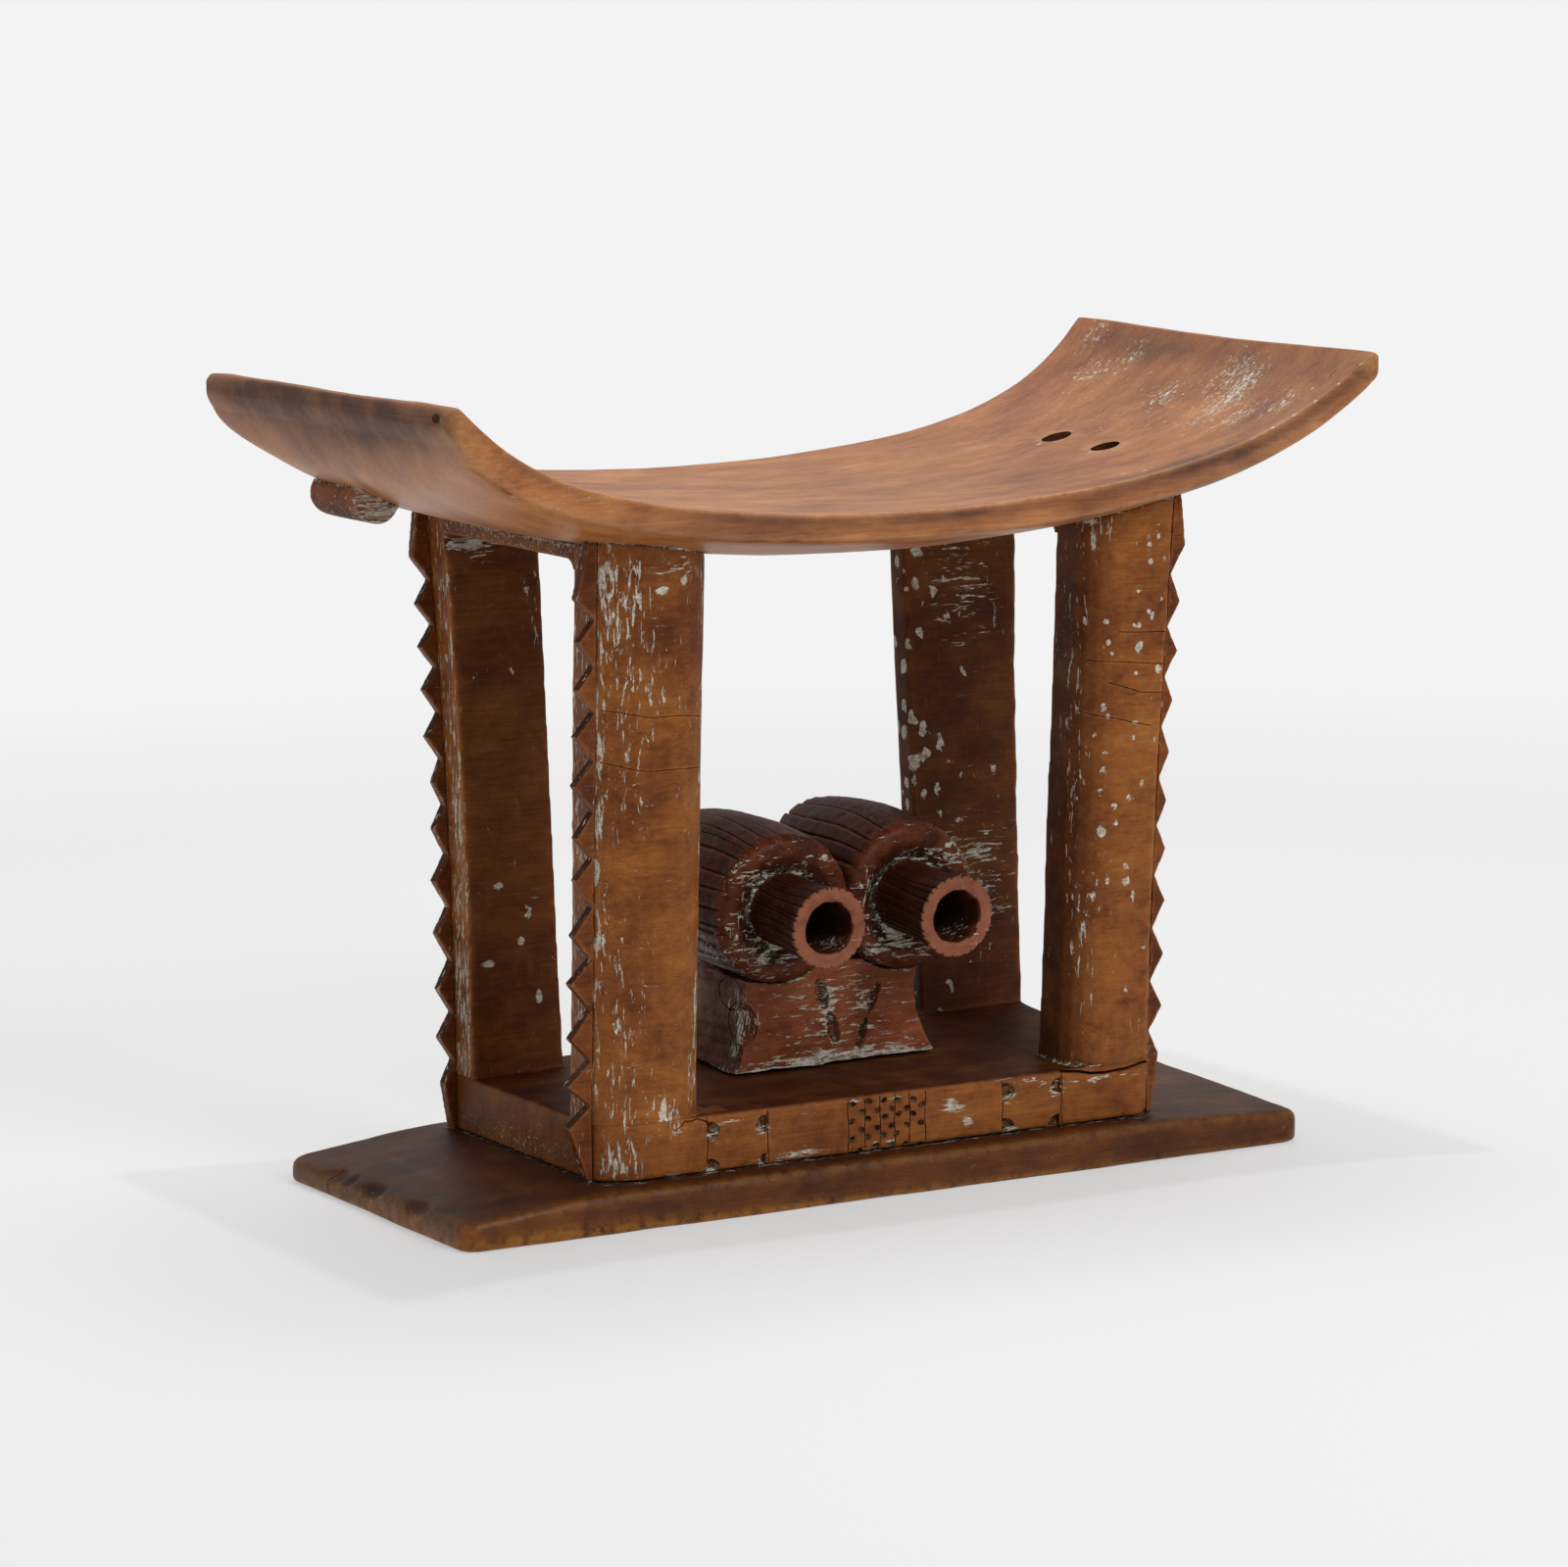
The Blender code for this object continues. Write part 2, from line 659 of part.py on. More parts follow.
def foot_rings(drift):
    profile = []
    for k in range(foot_stations + 1):
        share = k / foot_stations
        straight = (1 - share) * foot_root_radius + share * foot_mouth_radius
        waist = 2 * share * (1 - share) * (foot_root_radius + foot_mouth_radius - 2 * foot_waist_radius)
        profile.append((-(foot_length - foot_lip) * share, straight - waist, drift * share))
    profile.append((-foot_length, foot_mouth_radius, drift))
    lip = joint_gap - (foot_length - foot_lip)
    return turned(profile, 2 * flute_count, flute_depth, lambda distance: distance > lip)


for name, side, drift in (("left", -1, 0), ("right", 1, foot_right_drift)):
    place = Vector((drum_middle + side * drum_half_spacing, drum_ring_place, drum_height))
    shell = add_piece("drum_shell_" + name, loft(shell_rings(0)), place, (0.075, 0.035, 0.03), 0.45,
                      smooth=True)
    recess_radius = ring_radius - ring_rim_width
    recess = loft(turned([(-cut_overrun, recess_radius + ring_round, 0),
                          (ring_recess, recess_radius, 0)], flute_count))
    recess_cutter = add_cutter("ring_recess_" + name, recess, place)
    cut(shell, recess_cutter)
    # The two barrels lean on each other along a flat between them.
    flat_x = -side * (drum_half_spacing - joint_gap / 2)
    reach = 2 * shell_middle_radius
    edges = sorted((flat_x, flat_x - side * reach))
    flat = bmesh.new()
    add_prism(flat, [(-reach, -reach), (shell_length + reach, -reach),
                     (shell_length + reach, reach), (-reach, reach)], edges[0], edges[1], "X")
    cut(shell, add_cutter("shell_flat_" + name, flat, place))

    foot_place = place + Matrix.Rotation(drum_tilt, 4, "X") @ Vector((0, ring_recess - joint_gap, 0))
    foot = add_piece("drum_foot_" + name, loft(foot_rings(drift)), foot_place, (0.16, 0.055, 0.03), 0.5,
                     smooth=True)
    bore_end_drift = drift * (foot_length - foot_bore_depth) / foot_length
    bore = loft(turned([(-foot_length - cut_overrun, foot_bore_radius, drift),
                        (-foot_length + foot_bore_depth, foot_bore_radius, bore_end_drift)], flute_count))
    bore_cutter = add_cutter("foot_bore_" + name, bore, foot_place)
    cut(foot, bore_cutter)

    cradle = add_cutter("cradle_" + name, loft(shell_rings(joint_gap)), place)
    for tilted in (shell, recess_cutter, foot, bore_cutter, cradle):
        tilted.rotation_euler = (drum_tilt, 0, 0)


# Stand: waisted block with two cradles for the drums
def stand_half_width(share):
    straight = stand_foot_half_width + (stand_top_half_width - stand_foot_half_width) * share
    return straight - stand_waist_draw * 4 * share * (1 - share)


stand_height = stand_top - plinth_top
stand_side = [(stand_foot_half_width, -stand_foot_bury)]
for k in range(stand_steps + 1):
    share = k / stand_steps
    stand_side.append((stand_half_width(share), stand_height * share))
bm = bmesh.new()
add_prism(bm, stand_side + [(-x, z) for x, z in reversed(stand_side)], 0, stand_depth, "Y")
stand = add_piece("drum_stand", bm, (stand_middle, stand_front, plinth_top), (0.17, 0.06, 0.035), 0.6,
                  smooth=True)
cut(stand, plinth_trim)
for name in ("left", "right"):
    cut(stand, bpy.data.objects["cradle_" + name])

gouges = bmesh.new()
for (x, z), length, turn in zip(gouge_places, gouge_lengths, gouge_turns):
    leaf = []
    for k in range(gouge_sides):
        angle = 2 * math.pi * k / gouge_sides
        u = gouge_width / 2 * math.cos(angle) * abs(math.cos(angle)) ** gouge_point_share
        v = length / 2 * math.sin(angle)
        leaf.append((x + u * math.cos(turn) - v * math.sin(turn),
                     z + u * math.sin(turn) + v * math.cos(turn)))
    add_prism(gouges, leaf, -cut_overrun, gouge_depth, "Y")
cut(stand, add_cutter("stand_gouges", gouges, stand.location))
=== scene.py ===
import json
import math

import bmesh
import bpy
import numpy as np
from mathutils import Matrix, Vector
from mathutils.bvhtree import BVHTree
from mathutils.kdtree import KDTree

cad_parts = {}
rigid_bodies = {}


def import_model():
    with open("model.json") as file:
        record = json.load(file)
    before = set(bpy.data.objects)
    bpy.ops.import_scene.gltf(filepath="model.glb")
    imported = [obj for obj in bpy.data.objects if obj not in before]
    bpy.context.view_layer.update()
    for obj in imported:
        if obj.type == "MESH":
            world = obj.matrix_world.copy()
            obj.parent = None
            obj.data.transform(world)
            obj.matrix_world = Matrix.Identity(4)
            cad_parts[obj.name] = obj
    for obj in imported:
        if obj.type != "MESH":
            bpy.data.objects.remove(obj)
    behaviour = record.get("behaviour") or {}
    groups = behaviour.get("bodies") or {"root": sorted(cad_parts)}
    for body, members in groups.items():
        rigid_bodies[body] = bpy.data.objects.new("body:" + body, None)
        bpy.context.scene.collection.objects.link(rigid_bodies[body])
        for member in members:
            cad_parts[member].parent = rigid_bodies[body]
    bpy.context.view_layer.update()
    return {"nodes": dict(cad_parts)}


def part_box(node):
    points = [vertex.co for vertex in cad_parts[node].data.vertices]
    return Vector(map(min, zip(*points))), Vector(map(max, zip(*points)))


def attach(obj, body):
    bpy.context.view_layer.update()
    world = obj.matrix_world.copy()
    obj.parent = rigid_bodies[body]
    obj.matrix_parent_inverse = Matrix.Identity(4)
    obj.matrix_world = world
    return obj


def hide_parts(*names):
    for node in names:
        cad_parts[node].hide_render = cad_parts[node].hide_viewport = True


# A stool carved from one block of sese wood. Each piece below is one worked region of the block.
# Sizes are in millimetres: x runs along the seat and the grain, y to the back, z up.
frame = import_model()
print("frame loaded:", len(frame["nodes"]), "pieces")

mm = 0.001


def onlySelect(piece):
    bpy.ops.object.select_all(action="DESELECT")
    piece.select_set(True)
    bpy.context.view_layer.objects.active = piece


def applyModifier(piece, kind, **settings):
    modifier = piece.modifiers.new(kind.lower(), kind)
    for name, value in settings.items():
        setattr(modifier, name, value)
    onlySelect(piece)
    bpy.ops.object.modifier_apply(modifier=modifier.name)


def namePiece(piece, name):
    piece.name = piece.data.name = name
    return piece


def coordinates(piece, part="vertices", field="co"):
    data = getattr(piece.data, part)
    flat = np.empty(len(data) * 3)
    data.foreach_get(field, flat)
    return flat.reshape(-1, 3)


def setCoordinates(piece, places):
    piece.data.vertices.foreach_set("co", places.ravel())
    piece.data.update()


# A merged copy of a CAD node, free to be carved further
def copyOfNode(node, name):
    piece = bpy.data.objects.new(name, frame["nodes"][node].data.copy())
    bpy.context.scene.collection.objects.link(piece)
    piece.data.materials.clear()
    onlySelect(piece)
    bpy.ops.object.mode_set(mode="EDIT")
    bpy.ops.mesh.select_all(action="SELECT")
    bpy.ops.mesh.remove_doubles(threshold=0.01 * mm)
    bpy.ops.object.mode_set(mode="OBJECT")
    bpy.ops.mesh.customdata_custom_splitnormals_clear()
    return namePiece(piece, name)


def carve(piece, cutter, operation="DIFFERENCE", keep=False):
    applyModifier(piece, "BOOLEAN", object=cutter, operation=operation, solver="MANIFOLD")
    if not keep:
        bpy.data.objects.remove(cutter)


# A cylinder cut into as many rings as are given, each laid on its own outline
def skin(name, rings):
    bpy.ops.object.select_all(action="DESELECT")
    count = len(rings[0])
    bpy.ops.mesh.primitive_cylinder_add(vertices=count, radius=1, depth=1, end_fill_type="NGON")
    piece = namePiece(bpy.context.object, name)
    bpy.ops.object.mode_set(mode="EDIT")
    bpy.ops.mesh.select_mode(type="EDGE")
    mesh = bmesh.from_edit_mesh(piece.data)
    for edge in mesh.edges:
        edge.select_set(abs(edge.verts[0].co.z - edge.verts[1].co.z) > 0.5)
    bpy.ops.mesh.subdivide(number_cuts=len(rings) - 2)
    bpy.ops.mesh.select_mode(type="VERT")
    bpy.ops.object.mode_set(mode="OBJECT")
    places = coordinates(piece)
    level = np.rint((places[:, 2] + 0.5) * (len(rings) - 1)).astype(int)
    spokes = np.rint(np.arctan2(places[:, 0], places[:, 1]) / (2 * math.pi) * count).astype(int) % count
    setCoordinates(piece, np.array(rings)[level, spokes])
    onlySelect(piece)
    bpy.ops.object.mode_set(mode="EDIT")
    bpy.ops.mesh.select_all(action="SELECT")
    bpy.ops.mesh.normals_make_consistent(inside=False)
    bpy.ops.object.mode_set(mode="OBJECT")
    return piece


# Turns a hard-edged copy into an even skin with hand-worn edges
def soften(piece, voxel, rounds):
    applyModifier(piece, "REMESH", mode="VOXEL", voxel_size=voxel * mm)
    applyModifier(piece, "SMOOTH", factor=0.5, iterations=rounds)


# Shallow hollows of knife and adze: size and height of each kind
def handMarks(piece, waves):
    for size, height in waves:
        clouds = bpy.data.textures.new("clouds%g" % size, "CLOUDS")
        clouds.noise_scale = size * mm
        clouds.noise_depth = 1
        applyModifier(piece, "DISPLACE", texture=clouds, texture_coords="LOCAL", strength=height * mm, mid_level=0.5)


# A stretched ball that scoops a gouge or chip
def lens(place, size, turn=(0, 0, 0), fineness=3):
    bpy.ops.object.select_all(action="DESELECT")
    bpy.ops.mesh.primitive_ico_sphere_add(subdivisions=fineness, radius=1, location=Vector(place) * mm, rotation=turn)
    ball = bpy.context.object
    ball.scale = Vector(size) * mm
    bpy.ops.object.transform_apply(location=True, rotation=True, scale=True)
    return ball


# A thin wedge along a path of points, driven into the wood
def blade(path, into, width, depth):
    bpy.ops.object.select_all(action="DESELECT")
    bpy.ops.mesh.primitive_grid_add(x_subdivisions=len(path) - 1, y_subdivisions=1, size=2)
    sheet = bpy.context.object
    places = coordinates(sheet)
    step = np.rint((places[:, 0] + 1) / 2 * (len(path) - 1)).astype(int)
    reach = np.where(places[:, 1] > 0, depth, -2.0)[:, None]  # it starts 2 mm outside
    setCoordinates(sheet, (np.array(path, float)[step] + reach * np.array(into, float)) * mm)
    applyModifier(sheet, "SOLIDIFY", thickness=width * mm, offset=0)
    return sheet


# A split that follows the surface: path points are seen along the direction the blade goes in
def crack(piece, path, width, depth, into=(0, 1, 0)):
    bpy.context.view_layer.update()
    into = Vector(into)
    path = [Vector(point) for point in path]
    places = []
    for first, second in zip(path, path[1:]):
        steps = max(2, int((second - first).length / 2.5))
        for k in range(steps + (second == path[-1])):
            point = first.lerp(second, k / steps)
            point.z += 0.45 * math.sin(2.3 * point.x + point.y) * (into.z == 0)  # an uneven run
            hit, place, _, _ = piece.ray_cast((point - into * 250) * mm, into)
            places.append(place / mm if hit else point)
    carve(piece, blade([tuple(place) for place in places], tuple(into), width, depth))


# Masks that tell the wood where it is dark, worn, grimy or chalked, and where it carries painted shade and painted
# light.
# Chalk runs down in drips, lies in level dashes, or sits in round blots and whole scars.
layers = ("dark", "worn", "grime", "drip", "dash", "blot", "scar")
nodeMeshes = {}
for name, node in frame["nodes"].items():
    nodeMeshes[name] = ([v.co.copy() for v in node.data.vertices], [tuple(p.vertices) for p in node.data.polygons])


def neighbourTree(names):
    points, faces = [], []
    for name in names:
        nodePoints, nodeFaces = nodeMeshes[name]
        faces += [tuple(k + len(points) for k in face) for face in nodeFaces]
        points += nodePoints
    low, high = (np.array([pick(c) for c in zip(*points)]) for pick in (min, max))
    return BVHTree.FromPolygons(points, faces), low, high


# How far each point lies under the evened surface: hollows are positive, edges negative
def hollowness(piece, rounds):
    places = coordinates(piece)
    ends = np.empty(len(piece.data.edges) * 2, dtype=np.int64)
    piece.data.edges.foreach_get("vertices", ends)
    ends = ends.reshape(-1, 2)
    count = np.bincount(ends.ravel(), minlength=len(places))[:, None]
    even = places.copy()
    for _ in range(rounds):
        total = np.empty_like(even)
        for axis in range(3):
            total[:, axis] = (np.bincount(ends[:, 0], even[ends[:, 1], axis], len(places))
                              + np.bincount(ends[:, 1], even[ends[:, 0], axis], len(places)))
        even = 0.5 * even + 0.5 * total / np.maximum(count, 1)
    return ((even - places) * coordinates(piece, "vertex_normals", "vector")).sum(1) / mm


# Remembers the hollows of a whole block before it is parted, so that no mask shows at the parting plane
def keepHollows(piece, rounds):
    hollow = hollowness(piece, rounds)
    tree = KDTree(len(hollow))
    for k, vertex in enumerate(piece.data.vertices):
        tree.insert(vertex.co, k)
    tree.balance()
    return hollow, tree


# Writes the masks to the colour attributes: one for dark, worn and grime, which also hold painted shade and painted
# light, and chalk (drip, dash, blot, scar).
# spots: layer and rows of place, size and strength. facing: layer, direction, strength. near: nodes it touches.
def paint(piece, spots={}, facing=(), near=(), rounds=6, cavity=0.25, joint=1.6, touch=1.0, base={}, parted=None):
    places = coordinates(piece)
    normals = coordinates(piece, "vertex_normals", "vector")
    masks = {layer: np.full(len(places), base.get(layer, 0.0)) for layer in layers}
    hollow = hollowness(piece, rounds)
    if parted:
        x, y, z = (places / mm).T
        for k in np.nonzero(np.abs(z - plinthTop(x, y)) < 4)[0]:
            hollow[k] = 0.4 * parted[0][parted[1].find(Vector(places[k]))[1]]
    masks["grime"] += np.clip(hollow / cavity, 0, 1)
    masks["worn"] += np.clip(-hollow / cavity, 0, 1)
    if near:
        tree, low, high = neighbourTree(near)
        reach = 3 * joint * mm
        inside = ((places > low - reach) & (places < high + reach)).all(1)
        for k in np.nonzero(inside)[0]:
            distance = tree.find_nearest(Vector(places[k]), reach)[3]
            if distance is not None:
                close = touch * math.exp(-(distance / (joint * mm)) ** 2)
                masks["grime"][k] += close
                masks["dash"][k] += 0.6 * close
    # Facing rows paint by the way a face turns: on the dark and worn layers they mostly stand for painted shade and
    # painted light, on the chalk layers they lay chalk.
    for layer, direction, strength in facing:
        masks[layer] += strength * np.clip(normals @ np.array(direction, float), 0, 1) ** 2
    for layer, rows in spots.items():
        for x, y, z, width, depth, height, strength in rows:
            reach = (((places / mm - (x, y, z)) / (width, depth, height)) ** 2).sum(1)
            masks[layer] += strength * np.exp(-reach)
    for name, group in (("patina", layers[:3]), ("chalk", layers[3:])):
        colour = np.ones((len(places), 4), np.float32)
        for k, layer in enumerate(group):
            colour[:, k] = np.clip(masks[layer], 0, 1)
        attribute = piece.data.attributes.new(name, "FLOAT_COLOR", "POINT")
        attribute.data.foreach_set("color", colour.ravel())


def linear(code):
    channels = [int(code[k:k + 2], 16) / 255 for k in (0, 2, 4)]
    return tuple(c / 12.92 if c <= 0.04045 else ((c + 0.055) / 1.055) ** 2.4 for c in channels) + (1,)


# Adds one shader node with its settings, links or sets its inputs, and lays out a colour ramp's stops
def addNode(tree, kind, settings=None, links=None, stops=None):
    node = tree.nodes.new("ShaderNode" + kind)
    for name, value in (settings or {}).items():
        setattr(node, name, value)
    for name, value in (links or {}).items():
        if isinstance(value, bpy.types.NodeSocket):
            tree.links.new(value, node.inputs[name])
        else:
            node.inputs[name].default_value = value
    if stops:
        elements = node.color_ramp.elements
        while len(elements) < len(stops):
            elements.new(0.5)
        for element, (place, colour) in zip(elements, stops):
            element.position = place
            element.color = colour
    return node


# Noise in the wood: cells per metre along x (the grain), y and z, then shift, detail, roughness and distortion
woodPatterns = {
    "broad": ((13, 24, 20), (0, 0, 0), 3, 0.60, 0.5),  # clouds of 77 x 42 x 50 mm
    "mottle": (None, (3, 1, 2), 6, 0.70, 0.8),  # clouds of 10 to 40 mm, as each look says
    "fibre": ((26, 620, 620), (0, 0, 0), 3, 0.70, 0.3),  # fibres 1.6 mm apart: coarser than real, so that they show
    "pore": ((70, 2400, 2400), (1, 5, 2), 2, 0.60, 0.2),  # pores 0.4 mm apart
    "speck": ((900, 900, 900), (0, 0, 0), 2, 0.50, 0),  # dust of 1.1 mm
    "wearPatch": ((140, 140, 140), (4, 4, 1), 4, 0.70, 0),  # rubbed patches of 7 mm
    "stainCloud": ((38, 38, 38), (2, 2, 9), 4, 0.60, 0),  # stain clouds of 26 mm
    "crumb": ((420, 420, 420), (2, 7, 5), 5, 0.70, 0),  # crumbs of 2.4 mm
    "clayCrumb": ((260, 420, 360), (9, 2, 4), 5, 0.75, 0.5),  # clay lumps of 2.4 to 3.8 mm
    "dripChalk": ((430, 430, 80), (1, 1, 8), 5, 0.67, 0.6),  # upright streaks of 2.3 x 12 mm
    "dashChalk": ((80, 500, 500), (5, 3, 3), 5, 0.67, 0.7),  # level streaks of 12 x 2 mm
    "scarWarp": ((150, 150, 150), (8, 8, 8), 3, 0.60, 0),  # bends the scars over 7 mm
    "crust": ((1100, 1100, 1100), (6, 1, 3), 3, 0.70, 0),  # crust of 0.9 mm
    "thread": ((160, 1500, 1500), (7, 3, 1), 3, 0.70, 0.3),  # scratches 0.7 mm apart through the chalk
    "swell": ((55, 55, 55), (0, 0, 0), 3, 0.50, 0),  # swells of 18 mm
}
smooth = {"interpolation_type": "SMOOTHSTEP"}
clamped = {"operation": "MULTIPLY", "use_clamp": True}
colours = {"data_type": "RGBA"}  # its inputs are 0 share, 6 below and 7 above, its output is 2
# Each row adds a node: name, kind, settings or operation, inputs, and a ramp's stops. An input in words is an earlier
# row, with a dot before the number of its output, or a value of the look. MapRange takes value, low, high, from, to.
woodRecipe = (
    # the painted masks: the first attribute gives dark, worn, grime, with painted shade and painted light among them,
    # and chalk gives drip, dash, blot with whole scars in alpha
    ("patinaPaint", "Attribute", {"attribute_name": "patina"}, ()),
    ("chalkPaint", "Attribute", {"attribute_name": "chalk"}, ()),
    ("patina", "SeparateColor", {}, ("patinaPaint",)),
    ("chalk", "SeparateColor", {}, ("chalkPaint",)),
    # tone of the wood, drawn out along the grain
    ("broadTone", "Math", "MULTIPLY", ("broad", 0.55)),
    ("mottleTone", "Math", "MULTIPLY_ADD", ("mottle", 0.45, "broadTone")),
    ("fibreSwing", "Math", "SUBTRACT", ("fibre", 0.5)),
    ("tone", "Math", "MULTIPLY_ADD", ("fibreSwing", "look.fibre", "mottleTone")),
    ("wood", "ValToRGB", {}, ("tone",), (0.30, "deep"), (0.44, "middle"), (0.58, "light"), (0.72, "pale")),
    ("poreShare", "MapRange", smooth, ("pore", 0.52, 0.68, 0, "look.pores")),
    ("poredWood", "Mix", colours, {0: "poreShare", 6: "wood", 7: "look.deep"}),
    # wear and painted light brighten edges and faces, stains and painted shade darken broad areas
    ("wearShare", "MapRange", smooth, ("wearPatch", 0.30, 0.60, 0, "look.wear")),
    ("wear", "Math", "MULTIPLY", ("patina.1", "wearShare")),
    ("wornWood", "Mix", colours, {0: "wear", 6: "poredWood.2", 7: "look.bare"}),
    ("cloudShare", "MapRange", smooth, ("stainCloud", 0.30, 0.68, 0.65, 1.10)),
    ("stain", "Math", clamped, ("patina.0", "cloudShare")),
    ("stainShare", "Math", "MULTIPLY", ("stain", 0.85)),
    ("stainedWood", "Mix", colours, {0: "stainShare", 6: "wornWood.2", 7: "look.stain"}),
    # grime sits in hollows and joints: black first, then grey-green clay; the black also serves as painted shade inside
    # the seat's holes
    ("crumbShare", "MapRange", smooth, ("crumb", 0.36, 0.62, 0.25, 1.25)),
    ("soot", "Math", clamped, ("patina.2", "crumbShare")),
    ("sootShare", "Math", "MULTIPLY", ("soot", "look.soot")),
    ("sootyWood", "Mix", colours, {0: "sootShare", 6: "stainedWood.2", 7: "look.black"}),
    ("clayLump", "Math", "MULTIPLY_ADD", ("patina.2", 0.15, "clayCrumb")),
    ("lumpShare", "MapRange", smooth, ("clayLump", 0.62, 0.76, 0, 1)),
    ("hollowShare", "MapRange", smooth, ("patina.2", 0.10, 0.55, 0, 1)),
    ("clay", "Math", "MULTIPLY", ("lumpShare", "hollowShare")),
    ("clayShare", "Math", "MULTIPLY", ("clay", "look.clay")),
    ("clayedWood", "Mix", colours, {0: "clayShare", 6: "sootyWood.2", 7: "look.clayColour"}),
    # white clay in streaks
    ("dripLevel", "Math", "MULTIPLY_ADD", ("chalk.0", 0.28, "dripChalk")),
    ("dashLevel", "Math", "MULTIPLY_ADD", ("chalk.1", 0.28, "dashChalk")),
    ("dripMask", "MapRange", smooth, ("dripLevel", 0.68, 0.72, 0, 1)),
    ("dashMask", "MapRange", smooth, ("dashLevel", 0.68, 0.72, 0, 1)),
    ("streaks", "Math", "MAXIMUM", ("dripMask", "dashMask")),
    ("streakPaint", "Math", "MAXIMUM", ("chalk.0", "chalk.1")),
    ("streakPlace", "MapRange", smooth, ("streakPaint", 0.03, 0.20, 0, 1)),
    ("streakMask", "Math", "MULTIPLY", ("streaks", "streakPlace")),
    # round scars on cells of 8 x 8 x 12 mm, and whole scars where they are painted
    ("scarCells", "Mapping", {}, {"Vector": "place.3", "Scale": (125, 125, 84)}),
    ("scarBend", "VectorMath", {"operation": "MULTIPLY_ADD"}, ("scarWarp", (1.3, 0, -0.9), "scarCells")),
    ("scar", "TexVoronoi", {}, {"Vector": "scarBend", "Scale": 1.0}),
    ("scarPick", "SeparateColor", {}, ("scar.1",)),
    ("scarChance", "Math", "ADD", ("scarPick.0", "chalk.2")),
    ("scarGrowth", "MapRange", smooth, ("scarChance", 0.95, 1.65, 0, 1)),
    ("scarWidth", "Math", "MULTIPLY_ADD", ("scarPick.1", 0.30, 0.16)),
    ("scarSize", "Math", "MULTIPLY", ("scarGrowth", "scarWidth")),
    ("scarEdge", "Math", "SUBTRACT", ("scarSize", "scar")),
    ("scarMask", "MapRange", smooth, ("scarEdge", 0, 0.05, 0, 1)),
    ("wholeLevel", "Math", "MULTIPLY_ADD", ("crumb", 0.9, "chalkPaint.3")),
    ("wholeMask", "MapRange", smooth, ("wholeLevel", 0.85, 1.01, 0, 1)),
    ("scarMasks", "Math", "MAXIMUM", ("scarMask", "wholeMask")),
    ("chalkMask", "Math", "MAXIMUM", ("streakMask", "scarMasks")),
    ("crustShare", "MapRange", smooth, ("crust", 0.30, 0.55, 0, 1)),
    ("threadShare", "MapRange", smooth, ("thread", 0.36, 0.60, 0, 1)),
    ("cover", "Math", "MULTIPLY_ADD", ("crustShare", "threadShare", "look.crust")),
    ("white", "Math", clamped, ("chalkMask", "cover")),
    ("whiteTone", "ValToRGB", {}, ("clayCrumb",), (0.32, "clayColour"), (0.54, "white")),
    ("colour", "Mix", colours, {0: "white", 6: "clayedWood.2", 7: "whiteTone"}),
    # polish on the bare wood, none on clay or soot, less on stains and painted shade
    ("clayOrSoot", "Math", "MAXIMUM", ("clay", "soot")),
    ("dust", "Math", "MAXIMUM", ("white", "clayOrSoot")),
    ("mottleSwing", "Math", "SUBTRACT", ("mottle", 0.5)),
    ("woodRough", "Math", "MULTIPLY_ADD", ("mottleSwing", 0.22, "look.roughness")),
    ("dustRough", "Math", "MULTIPLY_ADD", ("dust", 0.40, "woodRough")),
    ("rough", "Math", {"operation": "MULTIPLY_ADD", "use_clamp": True}, ("stain", 0.20, "dustRough")),
    # relief of fibres, pores, dust, crusted clay and hand-cut swells
    ("fibreRelief", "Math", "MULTIPLY", ("fibre", 0.30)),
    ("poreRelief", "Math", "MULTIPLY_ADD", ("pore", -0.12, "fibreRelief")),
    ("speckRelief", "Math", "MULTIPLY_ADD", ("speck", 0.10, "poreRelief")),
    ("whiteOrClay", "Math", "MAXIMUM", ("white", "clay")),
    ("crustHeight", "Math", "MULTIPLY_ADD", ("crust", 0.8, 0.15)),
    ("crustRelief", "Math", "MULTIPLY_ADD", ("whiteOrClay", "crustHeight", "speckRelief")),
    ("relief", "Math", "MULTIPLY_ADD", ("swell", 1.2, "crustRelief")),
    ("bump", "Bump", {}, {"Height": "relief", "Strength": "look.bump", "Distance": 0.35 * mm}),
)


# Sese wood under hand polish, old stains, rubbed-in white clay, painted shade and painted light, read at the piece's
# own Object coordinates
def woodMaterial(name, look):
    look = {key: linear(value) if isinstance(value, str) else value for key, value in look.items()}
    material = bpy.data.materials.new(name)
    material.use_nodes = True
    tree = material.node_tree
    made = {"place": addNode(tree, "TexCoord")}
    for pattern, (scale, shift, detail, rough, warp) in woodPatterns.items():
        spread = addNode(tree, "Mapping", links={
            "Vector": made["place"].outputs["Object"], "Location": shift, "Scale": scale or look[pattern]})
        made[pattern] = addNode(tree, "TexNoise", links={
            "Vector": spread.outputs[0], "Scale": 1.0, "Detail": detail, "Roughness": rough, "Distortion": warp})
    for part, kind, settings, inputs, *stops in woodRecipe:
        links = dict(inputs if isinstance(inputs, dict) else enumerate(inputs))
        for socket, value in links.items():
            if isinstance(value, str):
                source, _, word = value.partition(".")
                links[socket] = look[word] if source == "look" else made[source].outputs[int(word or 0)]
        if isinstance(settings, str):
            settings = {"operation": settings}
        made[part] = addNode(tree, kind, settings, links, [(place, look[colour]) for place, colour in stops])
    shader = tree.nodes["Principled BSDF"]
    tree.links.new(made["colour"].outputs[2], shader.inputs["Base Color"])
    tree.links.new(made["rough"].outputs[0], shader.inputs["Roughness"])
    tree.links.new(made["bump"].outputs[0], shader.inputs["Normal"])
    shader.inputs["IOR"].default_value = 1.5
    shader.inputs["Specular IOR Level"].default_value = look["gloss"]
    return material


